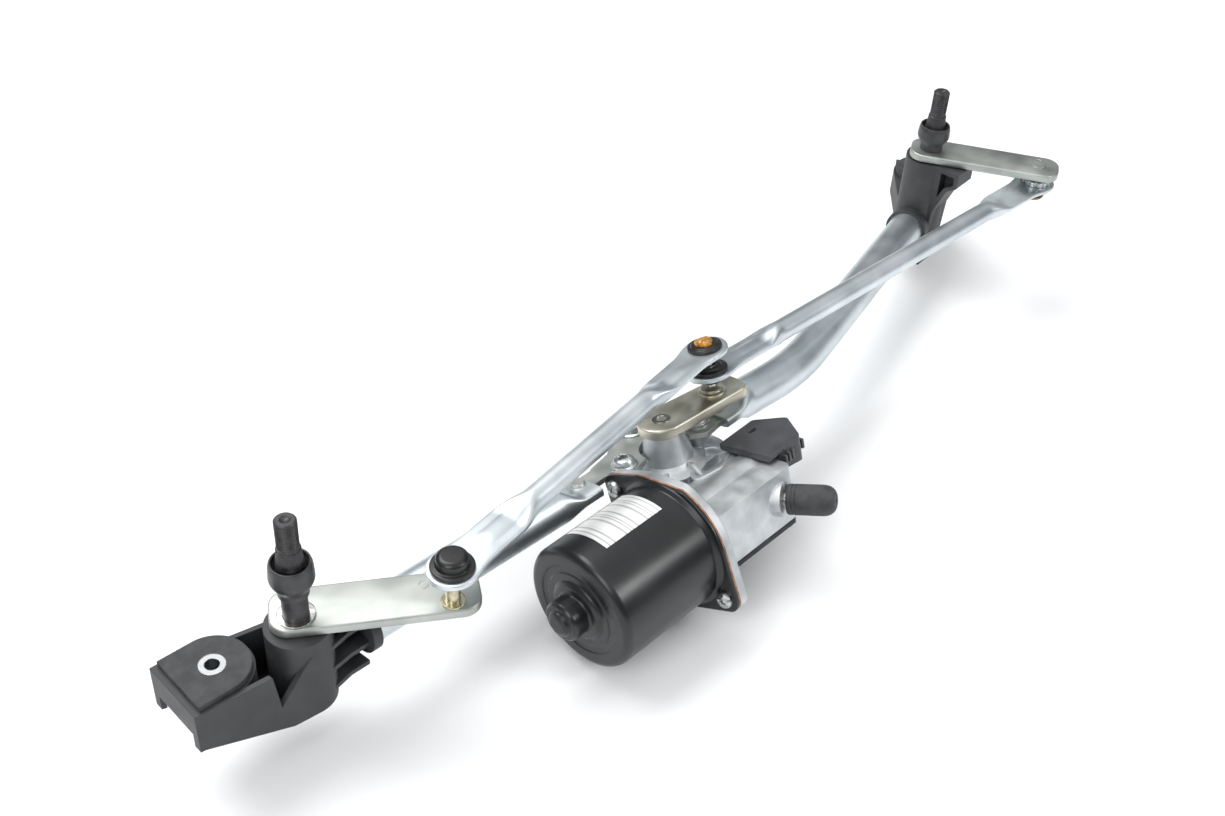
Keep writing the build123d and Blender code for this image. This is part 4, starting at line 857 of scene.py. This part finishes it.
class WIPER_OT_motor(bpy.types.Operator):
    """Drawn motor can with its flange, end boss and turned rings"""

    bl_idname = "wiper.motor"
    bl_label = "Motor can"

    def execute(self, context):
        settings = context.scene.wiper_motor
        radius = settings.can_radius * 1000
        shoulder = settings.shoulder * 1000
        face, flange = CAN_FACE, CAN_FLANGE
        a = np.linspace(0, pi / 2, 8)
        drawn = [(radius - shoulder * (1 - cos(t)), face + shoulder * (1 - sin(t))) for t in a]
        steps = [(24.5, face), (24.0, face + 0.5), (20.5, face + 0.5), (20.0, face), (16.4, face),
                 (15.9, face - 0.7), (13.9, face - 2.0), (11.2, face - 2.2), (10.5, face - 3.0),
                 (10.5, face - 10.6), (9.3, face - 12.0), (6.9, face - 12.0), (6.3, face - 13.6),
                 (4.2, face - 14.4), (0.01, face - 14.4)]
        profile = np.vstack([[(radius, flange - 2.2), (radius, -70.0)], drawn, rounded(steps, 0.5)])
        shell = turned("can_shell", ARMATURE_AT, ARMATURE_AXIS, profile, 120, crease=30)
        inside, outside = radius - 0.2, radius + 2.2
        roll = rounded([(inside, flange - 4.4), (radius + 1.9, flange - 2.6), (outside, flange - 1.9),
                        (inside, flange - 1.9), (inside, flange - 4.4)], 0.8)
        rim = turned("can_flange_roll", ARMATURE_AT, ARMATURE_AXIS, roll, 120)
        plate = plate_surface("can_flange", flange_outline(37.0, 7.6), ARMATURE_AT, ARMATURE_SIDE, MOTOR_W,
                              flange - 2.0, flange, 0.5)
        can = join("motor_can_drawn", [shell, rim, plate])
        settle(can, "frame", "black_paint", "Gloss_Black_Enamel", "motor_can")
        return {"FINISHED"}


def pan_bolt(name, at, axis, washer, height):
    """Low pan head on a round washer face, with a recess."""

    def lobes(angle, level, radius):
        """Six lobes in the recess: radius r (0.88 + 0.12 cos 6a)."""
        return np.where((radius > 0.1) & (radius < 3.2), radius * (0.88 + 0.12 * np.cos(6 * angle)), radius)

    profile = [(0.01, 0.0), (washer, 0.0), (washer, 0.8), (washer * 0.88, 1.15), (washer * 0.84, 1.3),
               (washer * 0.8, height * 0.6), (washer * 0.7, height * 0.88), (washer * 0.52, height),
               (3.1, height), (2.9, height - 0.4), (2.8, height * 0.45), (0.01, height * 0.4)]
    return turned(name, at, axis, profile, 96, lobes, 25)


class WIPER_OT_fasteners(bpy.types.Operator):
    """Pan-head bolts of the motor plate and the cross-recessed screws"""

    bl_idname = "wiper.fasteners"
    bl_label = "Bolts and screws"

    def execute(self, context):
        spots = [(-24.6, 8.0), (25.0, -1.0), (4.0, 27.0)]
        bolts = [pan_bolt(f"bolt_{i}", motor_point(u, v, BOLT_SEAT), MOTOR_W, 7.1, 4.8)
                 for i, (u, v) in enumerate(spots)]
        bolts = join("motor_plate_bolts", bolts)
        settle(bolts, "frame", "zinc_steel", "Zinc_Bolt", "mount_bolts")

        def cross(angle, level, radius):
            """Cross recess: the radius shrinks to 0.35 of itself between the four arms, |cos 2a|^6."""
            arm = np.abs(np.cos(2 * angle)) ** 6
            return np.where((radius < 3.0) & (radius > 0.1), radius * (0.35 + 0.65 * arm), radius)

        heads = []
        for i, sign in enumerate((1, -1)):
            x, y = sign * FLANGE_EAR[0], sign * FLANGE_EAR[1]
            at = ARMATURE_AT + ARMATURE_SIDE * x + MOTOR_W * y + ARMATURE_AXIS * (CAN_FLANGE - 2.0)
            profile = [(0.01, 0.0), (4.4, 0.0), (4.4, 1.4), (3.9, 2.5), (2.9, 3.1), (2.6, 3.2), (2.4, 2.9),
                       (1.6, 1.6), (0.01, 1.5)]
            heads.append(turned(f"screw_{i}", at, -ARMATURE_AXIS, profile, 64, cross))
        heads = join("motor_flange_screws", heads)
        settle(heads, "frame", "zinc_steel", "Zinc_Bolt", "motor_screws")
        return {"FINISHED"}


class WIPER_OT_rest(bpy.types.Operator):
    """Rubber rest on the gearbox's pin"""

    bl_idname = "wiper.rest"
    bl_label = "Rubber rest"

    def execute(self, context):
        base = motor_point(16.6, -62.6, -42.0)
        axis = unit(motor_point(26.2, -87.5, -42.0) - base)
        profile = rounded([(4.05, 0.0), (7.8, 0.0), (8.0, 0.6), (8.0, 18.6), (7.5, 21.2), (6.0, 23.4),
                           (4.0, 24.5), (1.2, 24.5), (0.9, 24.1), (0.01, 24.1)], 1.4)

        def ribs(angle, level, radius):
            """Shallow rings round the first 5 mm, 2.2 mm apart, from the positive half of a sine."""
            ring = 0.35 * smooth_step(np.sin(level * 2 * pi / 2.2), 0.0, 0.6) * (level < 5.0) * (level > 0.7)
            return np.where(radius > 7.0, radius - ring, radius)

        fine = [(8.0, h) for h in np.linspace(0.8, 5.2, 26)]
        full = np.vstack([[(4.05, 0.0), (7.8, 0.0), (8.0, 0.6)], fine, profile[profile[:, 1] > 6.0]])
        rest = turned("rubber_rest_moulded", base, axis, full, 72, ribs)
        settle(rest, "frame", "rubber", "Moulded_Rubber", "rubber_rest")
        return {"FINISHED"}


class WIPER_OT_gearbox_trim(bpy.types.Operator):
    """Cast ribs, hub fillet and the connector's locking teeth"""

    bl_idname = "wiper.gearbox_trim"
    bl_label = "Gearbox trim"

    def execute(self, context):
        turn = radians(GEARBOX_TURN)
        along = cos(turn) * MOTOR_U + sin(turn) * MOTOR_V
        across = np.cross(MOTOR_W, along)
        fillet = rounded([(10.6, -12.0), (12.6, -20.0), (15.4, -24.6), (19.6, -26.8), (19.6, -27.3),
                          (9.5, -27.3), (9.5, -12.0), (10.6, -12.0)], 1.5)
        hub = turned("gearbox_hub_fillet", MOTOR_AT, MOTOR_W, fillet, 96)
        ribs = []
        for i, (x0, y0, x1, y1) in enumerate(((10, 14, 20, 24), (-13, 13, -22, 21), (15, -12, 26, -20),
                                              (-14, -12, -27, -22), (0, -15, 0, -24))):
            s = np.linspace(0, 1, 12)
            x, y = x0 + (x1 - x0) * s, y0 + (y1 - y0) * s
            centres = MOTOR_AT + x[:, None] * along + y[:, None] * across
            height = 4.5 * (1 - smooth_step(s, 0.2, 1.0)) + 0.6
            centres = centres + (-27.2 + height * 0.5)[:, None] * MOTOR_W
            way = unit(centres[-1] - centres[0])
            tall = np.repeat(MOTOR_W[None], 12, 0)
            wide = np.repeat(unit(np.cross(MOTOR_W, way))[None], 12, 0)
            ribs.append(run_along(f"rib_{i}", centres, wide, tall, np.full(12, 1.3), height * 0.5 + 0.3,
                                  np.full(12, 4.0), 24))
        corners = [(13.0, 2.0), (19.8, 4.6), (25.1, -22.3), (7.7, -27.9), (-7.5, -23.8), (7.0, -1.2),
                   (13.0, 2.0)]
        route = rounded([motor_point(u, v, GEARBOX_FACE) for u, v in corners], 2.6, 6, 1.0)
        ahead = np.gradient(route, axis=0)
        ahead /= np.linalg.norm(ahead, axis=1)[:, None]
        tall = np.repeat(MOTOR_W[None], len(route), 0)
        size = np.full(len(route), 1.0)
        wide = np.cross(tall, ahead)
        ribs.append(run_along("panel_rim", route, wide, tall, size * 1.3, size, size * 3.5, 24))
        cast = join("gearbox_cast_ribs", [hub] + ribs)
        settle(cast, "frame", "cast_aluminium", "Die_Cast_Aluminium")

        teeth = []
        for i in range(6):
            at = motor_point(31.0 + 3.4 * i, -51.6 + 0.35 * i, -29.0)
            corners = [(-0.5, -2.4, 0.4), (0.5, -2.4, 0.4), (-0.5, 2.4, 0.4), (0.5, 2.4, 0.4)]
            outline = convex_outline(corners, 32)
            teeth.append(plate_surface(f"tooth_{i}", outline, at, MOTOR_U, MOTOR_W, -1.4, 1.8, 0.3))
        comb = join("connector_teeth", teeth)
        settle(comb, "frame", "grey_plastic", "Grey_Polyamide")
        return {"FINISHED"}


class WIPER_OT_finishes(bpy.types.Operator):
    """Finish of every part carried over from the frame"""

    bl_idname = "wiper.finishes"
    bl_label = "Finishes"

    def execute(self, context):
        for entry in frame["record"]["subparts"]:
            name, slot_name = entry["node"], entry["material_slot"]
            if slot_name == "label_film":
                material = paper_label()
            else:
                material = finish(NODE_FINISHES.get(name, SLOT_FINISHES[slot_name]))
            wear(frame["nodes"][name], material)
        return {"FINISHED"}


class WIPER_PT_panel(bpy.types.Panel):
    """Builds the wiper linkage piece by piece"""

    bl_idname = "WIPER_PT_panel"
    bl_label = "Wiper linkage"
    bl_space_type = "VIEW_3D"
    bl_region_type = "UI"
    bl_category = "Wiper"

    def draw(self, context):
        layout = self.layout
        for group in SETTINGS:
            settings = getattr(context.scene, group)
            for name in settings.__annotations__:
                layout.prop(settings, name)
        for operator in OPERATORS:
            layout.operator(operator.bl_idname)


OPERATORS = (
    WIPER_OT_stage,
    WIPER_OT_spindles,
    WIPER_OT_links,
    WIPER_OT_frame_tubes,
    WIPER_OT_cranks,
    WIPER_OT_motor,
    WIPER_OT_fasteners,
    WIPER_OT_rest,
    WIPER_OT_gearbox_trim,
    WIPER_OT_finishes,
)
SETTINGS = {
    "wiper_spindles": SpindleSettings,
    "wiper_links": LinkSettings,
    "wiper_motor": MotorSettings,
    "wiper_finishes": FinishSettings,
    "wiper_stage": StageSettings,
}


def register():
    """Settings, operators and panel made known to Blender."""
    for name, settings in SETTINGS.items():
        bpy.utils.register_class(settings)
        setattr(bpy.types.Scene, name, bpy.props.PointerProperty(type=settings))
    for operator in OPERATORS:
        bpy.utils.register_class(operator)
    bpy.utils.register_class(WIPER_PT_panel)


def unregister():
    """The same, taken away in reverse order."""
    bpy.utils.unregister_class(WIPER_PT_panel)
    for operator in reversed(OPERATORS):
        bpy.utils.unregister_class(operator)
    for name, settings in SETTINGS.items():
        delattr(bpy.types.Scene, name)
        bpy.utils.unregister_class(settings)


def main():
    """Every operator in order."""
    register()
    bpy.ops.wiper.stage()
    bpy.ops.wiper.spindles()
    bpy.ops.wiper.links()
    bpy.ops.wiper.frame_tubes()
    bpy.ops.wiper.cranks()
    bpy.ops.wiper.motor()
    bpy.ops.wiper.fasteners()
    bpy.ops.wiper.rest()
    bpy.ops.wiper.gearbox_trim()
    bpy.ops.wiper.finishes()


if __name__ == "__main__":
    main()
